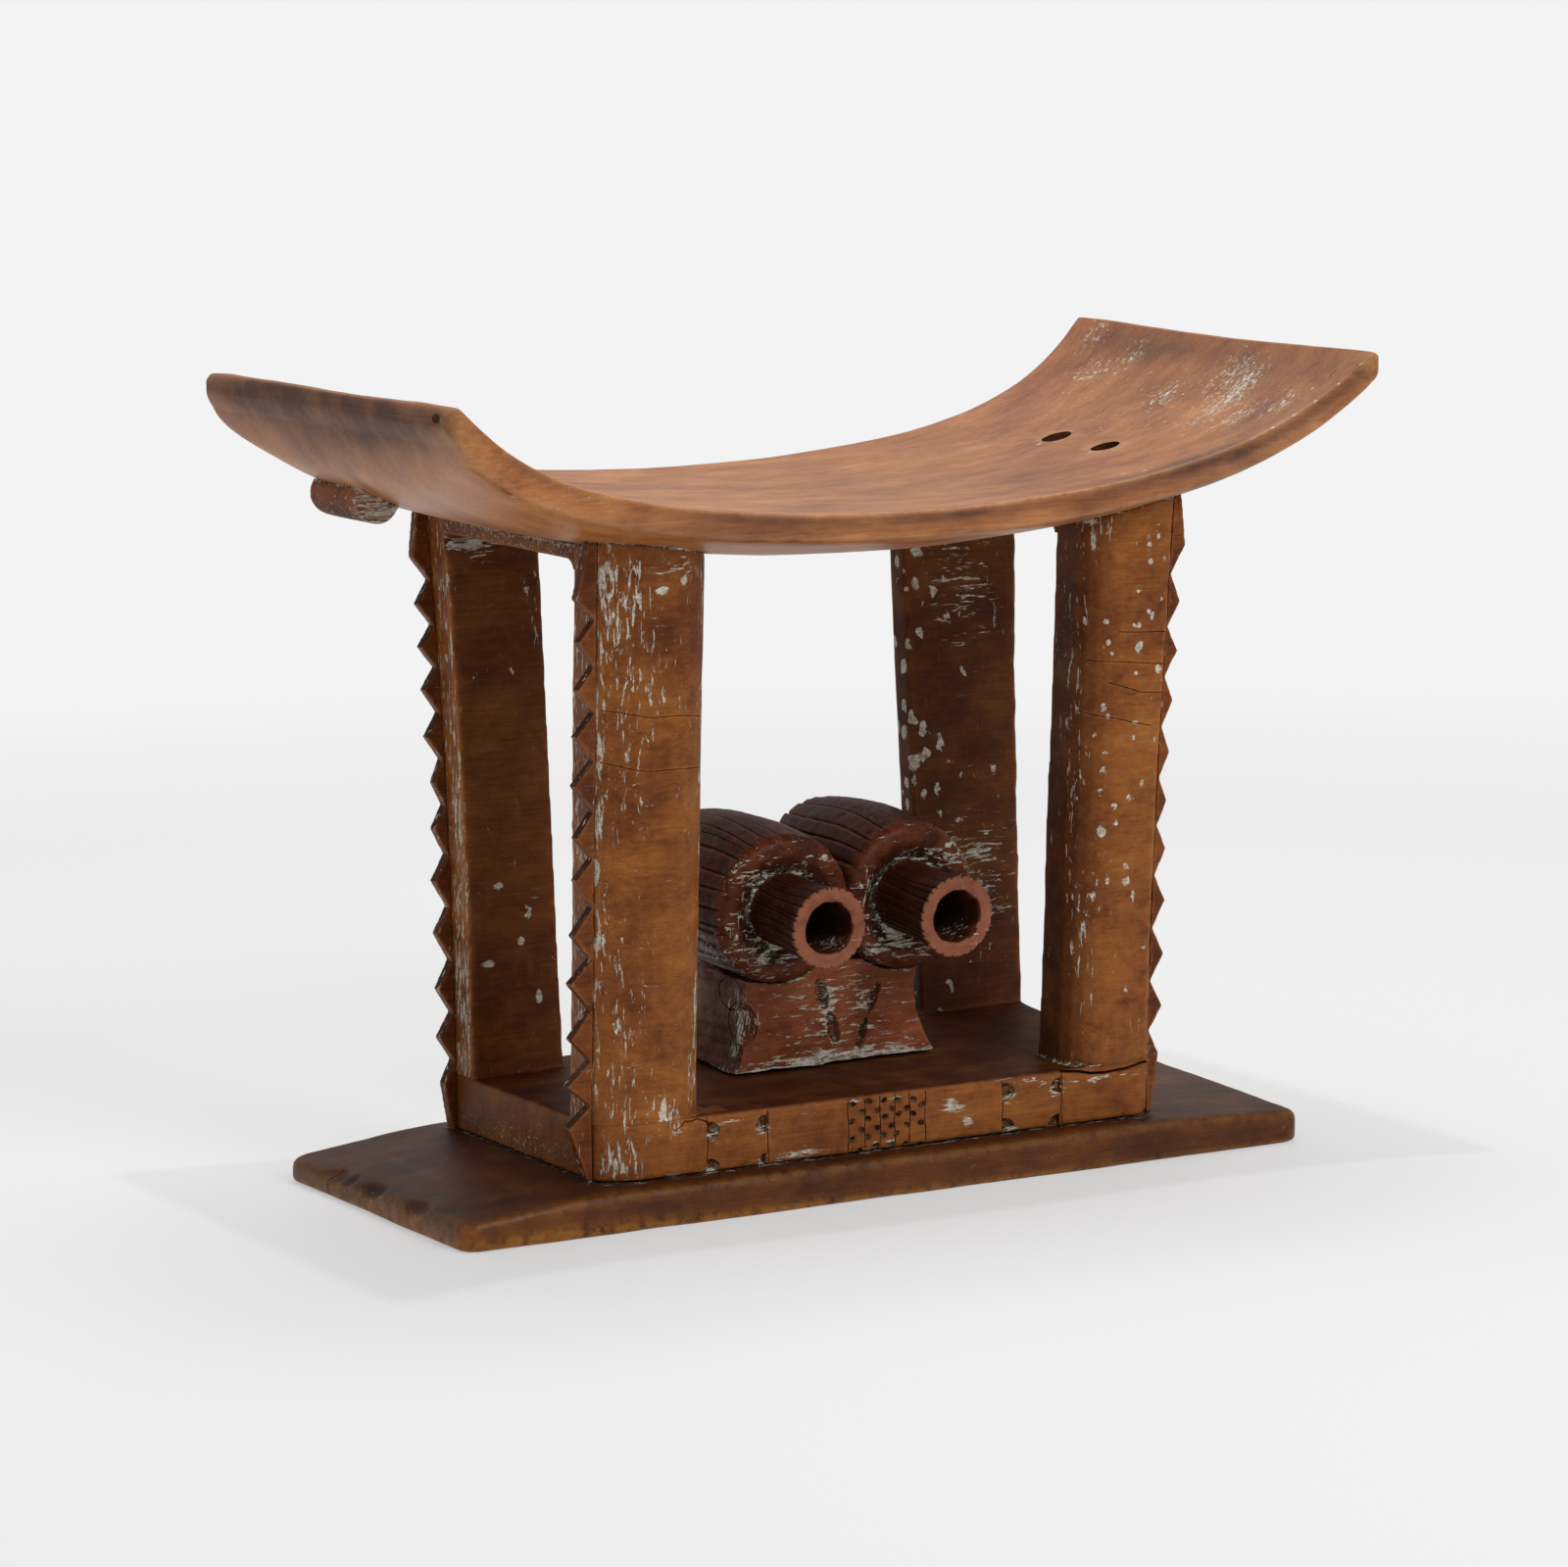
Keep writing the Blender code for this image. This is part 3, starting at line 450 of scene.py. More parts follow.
plainLook = {
    "deep": "45200B", "middle": "6B3815", "light": "87501F", "pale": "A0662D", "bare": "AE6A38", "stain": "331103",
    "black": "120906", "clayColour": "79745E", "white": "CFCBBD", "fibre": 0.30, "pores": 0.40, "wear": 0.55,
    "soot": 0.85, "clay": 0.75, "crust": 0.42, "roughness": 0.42, "gloss": 0.13, "bump": 0.6, "mottle": (50, 85, 75),
}
looks = {
    # hand-polished seat: rubbed by use to a warm tan, nearly no clay left
    "polishedSeseSeat": {"deep": "753A17", "middle": "985826", "light": "B2703A", "pale": "C4884C", "bare": "CC9A5E",
                         "stain": "36190B", "fibre": 0.40, "roughness": 0.40, "gloss": 0.52, "bump": 0.55,
                         "soot": 0.7, "clay": 0.35, "mottle": (26, 95, 80)},
    # posts and plinth: stained red-brown, knife-cut, clay rubbed into the marks
    "stainedSesePost": {},
    # fins: cut after staining, their hollows hold grime
    "carvedSeseFin": {"deep": "38190A", "middle": "5A2C12", "light": "774019", "pale": "90562A", "stain": "260F05"},
    # base board: darkest and smoothest, from feet and floor
    "footWornSeseBase": {"deep": "2A1104", "middle": "4A2106", "light": "5F300A", "pale": "724010", "bare": "94601A",
                         "stain": "240C03", "roughness": 0.40, "gloss": 0.23, "bump": 0.5, "wear": 0.8},
    # drum shells: purple-brown from smoke and oil
    "smokedSeseDrum": {"deep": "1C0A04", "middle": "32150A", "light": "462011", "pale": "5E2D1A", "bare": "743A22",
                       "stain": "140704", "roughness": 0.44, "gloss": 0.12, "clay": 0.7},
    # drum stand: red-brown with much clay
    "clayedSeseStand": {"deep": "4E2210", "middle": "773D20", "light": "925030", "pale": "A86846", "bump": 0.9},
    # drum mouths: end grain without stain, terracotta colour
    "bareSeseMouth": {"deep": "5E2D1D", "middle": "77402B", "light": "894F37", "pale": "995F44", "bare": "995F44",
                      "roughness": 0.6, "gloss": 0.25, "fibre": 0.1},
}
materials = {name: woodMaterial(name, {**plainLook, **look}) for name, look in looks.items()}
print("materials ready")


# Drops loose crumbs, paints the masks, gives the material and stands the piece in for its CAD nodes
def finish(piece, nodes, material, slot, **painting):
    onlySelect(piece)
    # the part that holds the lowest point stays
    bpy.ops.object.mode_set(mode="EDIT")
    bpy.ops.mesh.select_all(action="DESELECT")
    mesh = bmesh.from_edit_mesh(piece.data)
    min(mesh.verts, key=lambda vertex: vertex.co.z).select_set(True)
    bpy.ops.mesh.select_linked()
    bpy.ops.mesh.select_all(action="INVERT")
    bpy.ops.mesh.delete(type="VERT")
    bpy.ops.object.mode_set(mode="OBJECT")
    bpy.ops.object.shade_smooth_by_angle(angle=math.radians(45))
    paint(piece, **painting)
    piece.data.materials.clear()
    piece.data.materials.append(materials[material])
    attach(piece, "root")
    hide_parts(*nodes)
    print(piece.name, len(piece.data.polygons), "faces")


seat = {
    "halfLength": 265.2, "height": 356.1, "rise": 67.6, "dishShare": 0.51, "halfWidth": 131.3, "waist": 21.5,
    "flare": 11.8, "thickness": 27.0, "leftExtra": 8.0, "rightExtra": 5.6, "crossDish": 2.8, "nose": 6.2,
    "backLeftDrop": 3.2, "rimRound": 1.6, "heelRise": 0.63, "heelLength": 25.2, "heelPower": 1.6, "cornerRound": 8.0,
    "backLeftRound": 12.0, "earPinch": 0.35, "backLeftPinch": 0.6, "earLength": 13.0, "rimProud": 1.5, "stations": 70,
    "holeReach": 172.2, "holes": (-31.6, 20.6), "holeSize": 8.0, "marks": ((45, 0.9), (14, 0.25)),
    "cracks": ((((250, -123.5, 400), (255, -123.2, 400), (263, -124.2, 400)), 0.7, 2.0),
               (((249, -22.3, 400), (264, -24.6, 400)), 0.4, 0.6)),
    "chip": ((-271, -129.0, 417.0), (3.0, 4.2, 2.6)),
    # clusters of chalk at the right end: place, length and width
    "clusters": ((259, 113, 418, 10, 14), (236, 82, 400, 9, 16), (250, 61, 410, 8, 9), (226, -4, 394, 7, 10),
                 (239, -61, 402, 9, 11), (232, -109, 397, 9, 12), (218, -62, 390, 9, 14), (216, -89, 388, 9, 11),
                 (245, -40, 405, 12, 22), (142, -110, 367, 9, 8), (160, 22, 369, 5, 5), (160, -32, 369, 4, 4)),
    "spots": {
        "dash": [(215, 0, 390, 60, 130, 34, 0.19), (-200, -128, 375, 50, 10, 18, 0.22),
                 (-120, -134, 352, 90, 8, 12, 0.12)],
        "dark": [(-263, -30, 400, 14, 75, 8, 0.35), (238, -58, 400, 16, 26, 14, 0.32),
                 (252, 66, 412, 12, 26, 10, 0.30),
                 (226, 10, 392, 14, 22, 10, 0.30), (212, -104, 388, 30, 12, 12, 0.42),
                 (120, 60, 361, 30, 26, 8, 0.28),
                 (20, 20, 355, 46, 16, 8, 0.30), (-40, -70, 355, 60, 12, 8, 0.26), (255, 0, 415, 12, 120, 15, 0.45),
                 (-272, -10, 411, 15, 130, 13, 0.70), (-268, -4, 403, 9, 20, 11, 0.35),
                 (-270, -85, 405, 10, 25, 12, 0.3),
                 (-272, 90, 405, 9, 40, 14, 0.45), (-262, 20, 392, 14, 70, 10, 0.25),
                 (-150, -132, 358, 60, 8, 9, 0.35),
                 (-60, -134, 352, 150, 8, 4, 0.5), (190, -122, 372, 80, 9, 20, 0.75), (90, -60, 358, 70, 40, 8, 0.35),
                 (-269, 0, 412, 8, 130, 10, 0.4)],
        "scar": [(-268, 35, 411, 5, 0.9, 9, 0.45), (-264, 42, 400, 5, 0.8, 7, 0.4)],
        "grime": [(-272, -129.5, 417.5, 3, 5, 4, 1.0)],
        "worn": [(-268, -140, 414, 8, 10, 10, 0.6), (266, -138, 418, 10, 12, 8, 0.8), (0, 0, 355, 120, 90, 8, 0.25)],
    },
    "paint": {"near": ["post_front_left", "post_front_right", "rail_left"], "facing": [("dark", (-0.9, 0, 0.35), 0.35)],
              "cavity": 0.5, "base": {"dark": 0.04}},
}


def seatTop(x):
    t = abs(x) / seat["halfLength"]
    return seat["height"] + seat["rise"] * (seat["dishShare"] * t ** 2 + (1 - seat["dishShare"]) * t ** 6)


# How far a rounded edge of this radius lies back at a distance from the tip
def rounding(radius, inside):
    return radius - math.sqrt(max(0, radius ** 2 - max(0, radius - inside) ** 2))


def seatRing(x, out=0):
    t = abs(x) / seat["halfLength"]
    half = seat["halfWidth"] - seat["waist"] * t ** 2 + (seat["waist"] + seat["flare"]) * t ** 4
    depth = seat["thickness"] + (seat["leftExtra"] if x < 0 else seat["rightExtra"]) * t ** 4
    top = seatTop(x)
    fill = t ** 4 if x < 0 else 0
    inside = seat["halfLength"] + seat["nose"] - abs(x) - out
    drop = rounding(seat["nose"], inside)
    rise = (seat["heelRise"] * depth * max(0, 1 - inside / seat["heelLength"]) ** seat["heelPower"]
            + rounding(2.5, inside))
    ear = max(0, 1 - inside / seat["earLength"]) ** 2
    under = seat["rimProud"] * min(1, max(0, (x - 60) / 80)) * min(1, inside / 35)
    r = seat["rimRound"]
    outline = [(half * a, seat["crossDish"] * (1 - a * a)) for a in (0, 0.2, 0.4, 0.6, 0.78, 0.9, 0.965)]
    outline += [(half - r, 0), (half - 0.3 * r, 0.3 * r), (half, r), (half - under, r + 1.6 * under + 0.3)]
    outline += [(half - under, 0.27 * depth), (half, (0.44 + 0.1 * fill) * depth),
                (half - 2, (0.54 + 0.13 * fill) * depth), (half - 11, (0.65 + 0.12 * fill) * depth),
                (half - 23, (0.75 + 0.09 * fill) * depth), (half - 35, (0.86 + 0.04 * fill) * depth),
                (half - 52, 0.955 * depth), (half - 80, 0.99 * depth)]
    points = []
    for y, z in outline + [(0, depth)] + [(-y, z) for y, z in reversed(outline[1:])]:
        backLeft = x < 0 and y > 0
        sag = seat["backLeftDrop"] * (min(x, 0) / seat["halfLength"]) ** 8 * max(y / half, 0) ** 2
        z = min(max(z, drop), depth - rise)
        # the corners of the ends are rounded in plan and pinched in height
        pinch = ear * seat["backLeftPinch" if backLeft else "earPinch"] * max(0, (abs(y) / half - 0.8) / 0.2) ** 2
        middle = (drop + depth - rise) / 2
        z = middle + (z - middle) * (1 - pinch)
        y *= 1 - rounding(seat["backLeftRound" if backLeft else "cornerRound"], inside) / half
        points.append(((x + math.copysign(out, x)) * mm, y * mm, (top - z - sag) * mm))
    return points


turns = [math.pi * (k / seat["stations"] - 0.5) for k in range(seat["stations"] + 1)]
rings = [seatRing(seat["halfLength"] * math.sin(turn)) for turn in turns]
for share in (0.28, 0.52, 0.73, 0.88, 0.97, 1.0):
    rings.insert(0, seatRing(-seat["halfLength"], seat["nose"] * share))
    rings.append(seatRing(seat["halfLength"], seat["nose"] * share))
seatBoard = skin("seatBoard", rings)
applyModifier(seatBoard, "SUBSURF", levels=2)
handMarks(seatBoard, seat["marks"])
for y in seat["holes"]:
    bpy.ops.object.select_all(action="DESELECT")
    bpy.ops.mesh.primitive_cone_add(
        vertices=28, radius1=seat["holeSize"] * 0.8 * mm, radius2=seat["holeSize"] * 1.1 * mm, depth=120 * mm,
        location=Vector((seat["holeReach"], y, seat["height"])) * mm, rotation=(0, math.copysign(0.12, y), 0.3))
    bpy.ops.object.transform_apply(location=True, rotation=True, scale=True)
    carve(seatBoard, bpy.context.object)
for path, width, depth in seat["cracks"]:
    crack(seatBoard, path, width, depth, (0, 0, -1))
carve(seatBoard, lens(*seat["chip"]))
spots = seat["spots"]
spots["dash"] += [(x, y, z, 1.8 * a, 0.9 * b, 16, 0.48) for x, y, z, a, b in seat["clusters"]]
for x in (*range(186, 264, 6), *range(-256, 186, 7)):
    # the front edge: chalk caught on it to the right, a painted highlight along it to the left, a dark line under it
    y, z = -seatRing(x)[9][1] / mm, seatTop(x)
    if x >= 186:
        spots["scar"].append((x, y + 0.6, z, 3.6, 1.3, 1.4, 0.62 if x % 12 else 0.4))
        spots["dark"].append((x, y, z - 5.5, 5, 4, 3.2, 0.5))
    else:
        # a painted highlight along the edge
        spots["worn"].append((x, y + 0.8, z, 5, 1.8, 1.5, 0.55))
        spots["dark"].append((x, y, z - 3.6, 5, 4, 2.0, 0.28 + 0.22 * math.sin(0.05 * x)))
# the holes are painted dark inside, as painted shade where their walls would catch light from below
for y in seat["holes"]:
    spots["dark"].append((seat["holeReach"], y, 358, 10, 10, 13, 1.0))
    spots["grime"].append((seat["holeReach"], y, 356, 10, 10, 13, 1.0))
finish(seatBoard, ["seat"], "polishedSeseSeat", "seat_wood", spots=spots, **seat["paint"])
# the walls of the holes take the dark drum wood: painted shade inside the holes
seatBoard.data.materials.append(materials["smokedSeseDrum"])
for face in seatBoard.data.polygons:
    x, y, z = face.center / mm
    if (z < seatTop(x) - 1.5 and abs(face.normal.z) < 0.6
            and min(math.hypot(x - seat["holeReach"], y - holeY) for holeY in seat["holes"]) < 10.5):
        face.material_index = 1

lug = {
    "voxel": 0.9, "rounds": 2, "marks": ((12, 0.5),),
    "paint": {
        "spots": {"dash": [(-220, 33, 356, 16, 5, 12, 0.85)], "blot": [(-236, 45, 359, 5, 12, 6, 0.8)],
                  "worn": [(-236, 55, 365, 6, 30, 5, 0.8)], "dark": [(-232, 60, 352, 12, 40, 6, 0.8)]},
        "near": ["seat"], "base": {"dash": 0.34, "grime": 0.16, "dark": 0.1}},
}
seatLug = copyOfNode("seat_lug", "seatLug")
soften(seatLug, lug["voxel"], lug["rounds"])
handMarks(seatLug, lug["marks"])
finish(seatLug, ["seat_lug"], "clayedSeseStand", "seat_wood", **lug["paint"])

# The plinth and posts are softened as one block, so that the posts grow out of the plinth
plinth = {
    # plan of the front left corner
    "bow": ((-163, -75), (-160.8, -77.2), (-158.7, -79.3), (-151.8, -82.7), (-143.2, -85.0), (-134.5, -85.75)),
    "half": 163.0, "side": 85.75, "low": 21.1, "high": 50.7, "skew": 14.4, "lift": 8.0, "round": 1.4, "corner": 7.0,
    # a post is run down through the plinth below postFoot, and pressed against the seat above postHead
    "postFoot": 75, "postRoot": 27, "postHead": 320, "press": 0.8, "spread": 12,
    "voxel": 1.3, "rounds": 9, "marks": ((38, 0.8), (11, 0.25)),
    "lines": (-103.5, -68.1, 72.2, 108.6), "checker": (-20.8, -10.8, -1.7, 7.0, 15.9, 25.3),
    "punches": (
        (-17.9, 47.0), (-8.3, 47.6), (0.7, 47.1), (8.4, 46.5), (18.3, 45.7), (23.0, 42.4), (14.6, 41.7), (5.5, 42.1),
        (-3.2, 42.2), (-12.2, 42.5), (17.9, 38.3), (9.0, 38.7), (1.2, 38.4), (-8.7, 38.5), (-18.6, 38.1),
        (22.6, 32.9),
        (14.5, 32.7), (5.2, 33.2), (-3.5, 33.1), (-12.7, 33.0), (7.7, 28.7), (0.2, 28.9), (-9.1, 28.9), (-18.7, 28.7),
        (21.7, 21.6), (13.9, 22.7), (4.6, 23.3), (-3.9, 23.8), (-13.4, 22.3), (8.0, 18.8), (-0.1, 19.4)),
    # D-shaped notches: place of the straight edge, side of the bow, height above the floor, width, height
    "notches": ((-103.3, 1, 43.0, 7.4, 9.0), (-103.5, 1, 24.0, 7.2, 8.6), (-68.1, -1, 42.8, 7.4, 9.8),
                (-69.4, -1, 23.3, 4.4, 8.8), (72.2, 1, 43.2, 7.6, 9.8), (72.2, 1, 25.4, 7.0, 8.2),
                (108.7, -1, 43.0, 7.2, 8.6), (107.4, -1, 23.6, 7.4, 8.8)),
    "cracks": ((((108, 0, 50.2), (119, 0, 49.3), (126.4, 0, 47), (135, 0, 46.6), (143.6, 0, 47.8), (153, 0, 48.6),
                 (162.6, 0, 49.6), (170, 0, 50)), 1.5, 7),
               (((-122.6, 0, 44.5), (-116.3, 0, 49.0), (-109, 0, 49.4), (-102.8, 0, 46.8)), 0.7, 2)),
    "spots": {
        "dash": [(-47, -86, 25, 20, 4, 3, 0.7), (-88, -86, 46, 12, 4, 3, 0.4), (-60, -86, 46, 20, 4, 2, 0.3),
                 (42, -86, 39.5, 7, 4, 4.5, 0.95), (51, -86, 30.5, 4, 4, 3, 0.85), (86, -86, 48, 16, 4, 3, 0.4),
                 (-110, -86, 22, 60, 5, 2, 0.3), (130, -86, 44, 30, 5, 2, 0.6), (-163, 0, 30, 4, 80, 9, 0.3)],
        "drip": [(-148, -86, 28, 14, 6, 9, 0.55), (-157, -82, 30, 7, 8, 12, 0.6), (-148, -84, 46, 16, 8, 10, 0.3),
                 (-118, -86, 47, 12, 6, 5, 0.4)],
    },
    "paint": {"near": ["base_board", "drum_stand"], "cavity": 0.35, "joint": 1.2, "touch": 0.55, "base": {"dash": 0.06},
              # painted shade on the top, which lies under the seat, a darker left end, painted light on the front, and
              # chalk on the back and right
              "facing": [("dark", (0, 0, 1), 1.0), ("dark", (-1, 0, 0), 0.3), ("worn", (0, -1, 0), 0.30),
                         ("dash", (0, 1, 0), 0.30), ("dash", (1, 0, 0), 0.26)]},
}
# Scars stand on one face, at a depth y: x, height above the floor, width, height
posts = {
    "post_front_left": {
        "name": "postFrontLeft",
        "hairlines": (((-168, 0, 263.4), (-140, 0, 259), (-107, 0, 256.2)),
                      ((-168, 0, 237), (-138, 0, 231), (-107, 0, 230.1))),
        "scarDepth": -99, "scarShare": 0.9, "scars": (),
        "spots": {
            "drip": [(-160, -97, 325, 4, 12, 24, 0.42), (-150, -98, 324, 4, 12, 14, 0.5),
                     (-150, -97, 260, 10, 12, 60, 0.22),
                     (-163, -90, 190, 3, 14, 170, 0.38), (-128, -88, 55, 10, 12, 9, 0.62),
                     (-106, -84, 78, 5, 12, 42, 0.5),
                     (-146, -90, 90, 14, 12, 50, 0.35), (-103, -92, 250, 4, 14, 90, 0.45),
                     (-140, -97, 300, 16, 12, 40, 0.30)],
            "dash": [(-134, -99, 333, 10, 12, 5, 0.6), (-120, -98, 333, 4, 12, 6, 0.6)],
            # the worn row paints light on the lower front face
            "dark": [(-132, -97, 302, 16, 10, 14, 0.75)], "worn": [(-134, -90, 90, 40, 14, 50, 0.2)],
            "scar": [(-134, -99, 322, 5, 12, 2.5, 0.9), (-121, -99, 326, 2.5, 12, 3, 0.9)]},
        "facing": [("drip", (-1, 0, 0), 0.34)], "near": ["seat"]},
    "post_front_right": {
        "name": "postFrontRight",
        "hairlines": (((136, 0, 281.8), (160, 0, 280), (173, 0, 277.9)),
                     ((122, 0, 267), (148, 0, 264), (166, 0, 262.7)),
                      ((132, 0, 254.3), (150, 0, 249), (166, 0, 247.7)),
                      ((120, 0, 239.9), (145, 0, 233), (158, 0, 230.7))),
        "scarDepth": -97, "scarShare": 0.74, "scars": (
            (153, 326, 2.8, 2), (159, 330, 2.4, 2), (154, 317, 2.5, 2), (147, 302, 3.5, 1.6), (156, 288, 1.8, 4),
            (148, 284, 2, 2.5), (130, 287, 2, 1.8), (148, 273, 3.5, 5), (131, 276, 1.6, 2.4), (133, 270, 1.6, 1.6),
            (147, 259, 1.6, 2.4), (132, 237, 2, 2.4), (114, 234, 1.5, 2.4), (126, 227, 1.5, 2.2),
            (148, 233, 2.6, 1.4),
            (147, 225, 1.4, 2), (131, 218, 2.4, 1.5), (123, 217, 1.4, 2), (153, 200, 1.6, 4), (129, 198, 2.6, 1.8),
            (107, 269, 1.4, 2), (106, 256, 1.5, 6), (101, 291, 1.5, 1.5), (124, 329, 1.5, 8), (116, 333, 1.3, 6),
            (101, 321, 1.4, 3), (121, 339, 6, 1.6), (134, 150, 1.8, 5), (150, 140, 2, 5), (158, 112, 3, 3),
            (147, 90, 2, 4)),
        "spots": {
            "drip": [(122, -100, 338, 14, 14, 8, 0.42), (158, -100, 332, 9, 12, 8, 0.3),
                     (119, -80, 230, 5, 16, 110, 0.32),
                     (170, -92, 330, 3, 12, 30, 0.5), (125, -90, 120, 10, 12, 50, 0.3)],
            "blot": [(140, -97, 220, 45, 20, 130, 0.62)],
            # the worn rows paint light down the front face
            "worn": [(148, -97, 230, 18, 12, 120, 0.35), (145, -90, 90, 40, 14, 60, 0.4)], "scar": []},
        # painted shade on the left side, turned in under the seat
        "facing": [("dark", (-1, 0, 0), 0.9)], "near": ["seat", "plinth"]},
    "post_back_left": {
        "name": "postBackLeft", "hairlines": (),
        "scarDepth": 58, "scarShare": 0.92, "scars": (
            (-140, 298, 4, 2), (-129, 294, 4.5, 4), (-124, 297, 3.5, 9), (-128, 276, 3.5, 4.5), (-128, 266, 3.5, 4.5),
            (-134, 265, 4, 2.2), (-134, 247, 4, 1.6), (-122, 236, 2.5, 5), (-161, 224, 2.5, 2.5), (-148, 231, 2, 2),
            (-138, 208, 4.5, 1.6), (-152, 280, 2, 2), (-159, 293, 5, 2.5), (-120, 285, 3, 5), (-142, 150, 4, 3),
            (-130, 120, 3, 3), (-150, 110, 5, 2.5), (-121, 90, 2.5, 5)),
        "spots": {
            "drip": [(-114, 62, 300, 8, 20, 30, 0.5), (-163, 70, 200, 3, 10, 150, 0.5)],
            "blot": [(-125, 60, 280, 35, 20, 60, 0.85), (-120, 65, 130, 40, 20, 60, 0.6)],
            "dash": [(-145, 60, 330, 24, 20, 14, 0.8)], "scar": []},
        # painted shade on the front and on the right side, under the seat
        "facing": [("dark", (0, -1, 0), 0.6), ("dark", (1, 0, 0), 0.85), ("drip", (-1, 0, 0), 0.28)],
        "near": ["seat", "rail_left"]},
    "post_back_right": {
        "name": "postBackRight", "hairlines": (),
        "scarDepth": 58, "scarShare": 0.92, "scars": (
            (111, 307, 3, 6), (110, 292, 3.5, 8), (117, 288, 3.5, 7), (125, 296, 4.5, 6), (132, 312, 3.5, 2.2),
            (142, 312, 4.5, 2.6), (157, 309, 6, 4), (166, 299, 3.5, 5), (158, 271, 4, 3.5), (134, 256, 4, 3),
            (131, 233, 4, 3.2), (168, 257, 4, 2.4), (123, 262, 2.2, 3.5), (125, 254, 2.5, 4), (112, 211, 2.2, 6),
            (117, 196, 3, 5), (108, 201, 2.2, 5), (113, 183, 3.5, 9), (123, 238, 1.8, 4), (124, 209, 2.5, 5),
            (163, 186, 3.5, 5), (136, 192, 5, 2), (139, 215, 4.5, 1.4), (101, 282, 1.5, 3), (103, 193, 2, 4.5),
            (103, 182, 2, 4), (140, 160, 4, 2.5), (125, 150, 3, 4), (112, 120, 3, 6), (150, 125, 5, 2)),
        "spots": {
            "blot": [(126, 62, 285, 30, 25, 70, 1.0), (126, 66, 140, 34, 25, 80, 0.95),
                     (114, 80, 220, 6, 30, 120, 0.9)],
            "dash": [(148, 66, 288, 22, 26, 26, 0.60), (150, 66, 130, 24, 26, 30, 0.52)], "scar": []},
        # painted shade on the front and on the left side, under the seat
        "facing": [("dark", (0, -1, 0), 0.75), ("dark", (-1, 0, 0), 1.0)], "near": ["seat"]},
}
# the unseen back and right faces are chalked like the seen ones
postBacks = [("drip", (1, 0, 0), 0.30), ("blot", (0, 1, 0), 0.55), ("drip", (0, 1, 0), 0.22)]

bpy.ops.object.select_all(action="DESELECT")
bpy.ops.mesh.primitive_cube_add(size=1)
whole = bpy.context.object
right, back, top = (coordinates(whole) + 0.5).T
setCoordinates(whole, mm * np.stack([
    -plinth["half"] + 2 * plinth["half"] * right + plinth["skew"] * right * back, plinth["side"] * (2 * back - 1),
    plinth["low"] + (plinth["high"] - plinth["low"] + plinth["lift"] * back * right) * top], axis=1))
bpy.ops.object.mode_set(mode="EDIT")
bpy.ops.mesh.select_mode(type="EDGE")
mesh = bmesh.from_edit_mesh(whole.data)
for edge in mesh.edges:
    edge.select_set(abs(edge.verts[0].co.z - edge.verts[1].co.z) > 15 * mm and edge.verts[0].co.y < 0)
bpy.ops.mesh.bevel(offset=plinth["corner"] * mm, segments=5, profile=0.5)  # front corners as round as the posts
mesh = bmesh.from_edit_mesh(whole.data)
bowed = sorted((v for v in mesh.verts if v.co.x < 0 and v.co.y < (1.02 * plinth["corner"] - plinth["side"]) * mm),
               key=lambda v: (v.co.z > 35 * mm, v.co.x - v.co.y))
for k, vertex in enumerate(bowed):
    vertex.co.x, vertex.co.y = (Vector(plinth["bow"][k % len(plinth["bow"])]) * mm)
mesh = bmesh.from_edit_mesh(whole.data)
for edge in mesh.edges:
    edge.select_set(min(v.co.z for v in edge.verts) > 40 * mm)
bpy.ops.mesh.bevel(offset=plinth["round"] * mm, segments=3, profile=0.5)
bpy.ops.mesh.select_mode(type="VERT")
bpy.ops.object.mode_set(mode="OBJECT")
parts = []
for node in posts:
    post = copyOfNode(node, node + "_copy")
    places = coordinates(post)
    low = places[:, 2] < plinth["postFoot"] * mm
    places[low, 2] -= plinth["postRoot"] * mm
    places[~low & (places[:, 2] > plinth["postHead"] * mm), 2] += plinth["press"] * mm
    setCoordinates(post, places)
    parts.append(post)
onlySelect(whole)
for post in parts:
    post.select_set(True)
bpy.ops.object.join()
soften(whole, plinth["voxel"], plinth["rounds"])
handMarks(whole, plinth["marks"])
hollows = keepHollows(whole, 6)
print("plinth and posts:", len(whole.data.polygons), "faces")


def plinthTop(x, y):
    return (plinth["high"] + plinth["lift"] * (y + plinth["side"]) / (2 * plinth["side"])
            * (x + plinth["half"]) / (2 * plinth["half"]))


# A block round one post, with its underside on the top of the plinth
def postBox(node):
    low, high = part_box(node)
    bpy.ops.object.select_all(action="DESELECT")
    bpy.ops.mesh.primitive_cube_add(size=1)
    box = bpy.context.object
    shares = coordinates(box) + 0.5
    spread = plinth["spread"] * mm
    x = low.x - spread + (high.x - low.x + 2 * spread) * shares[:, 0]
    y = low.y - spread + (high.y - low.y + 2 * spread) * shares[:, 1]
    z = np.where(shares[:, 2] > 0.5, 0.4, plinthTop(x / mm, y / mm) * mm + 0.15 * mm)
    setCoordinates(box, np.stack([x, y, z], axis=1))
    return box


pieces = {}
for node in posts:
    box = postBox(node)
    post = whole.copy()
    post.data = whole.data.copy()
    bpy.context.scene.collection.objects.link(post)
    carve(post, box, "INTERSECT", keep=True)
    pieces[node] = namePiece(post, posts[node]["name"])
    carve(whole, box)
block = namePiece(whole, "plinthBlock")

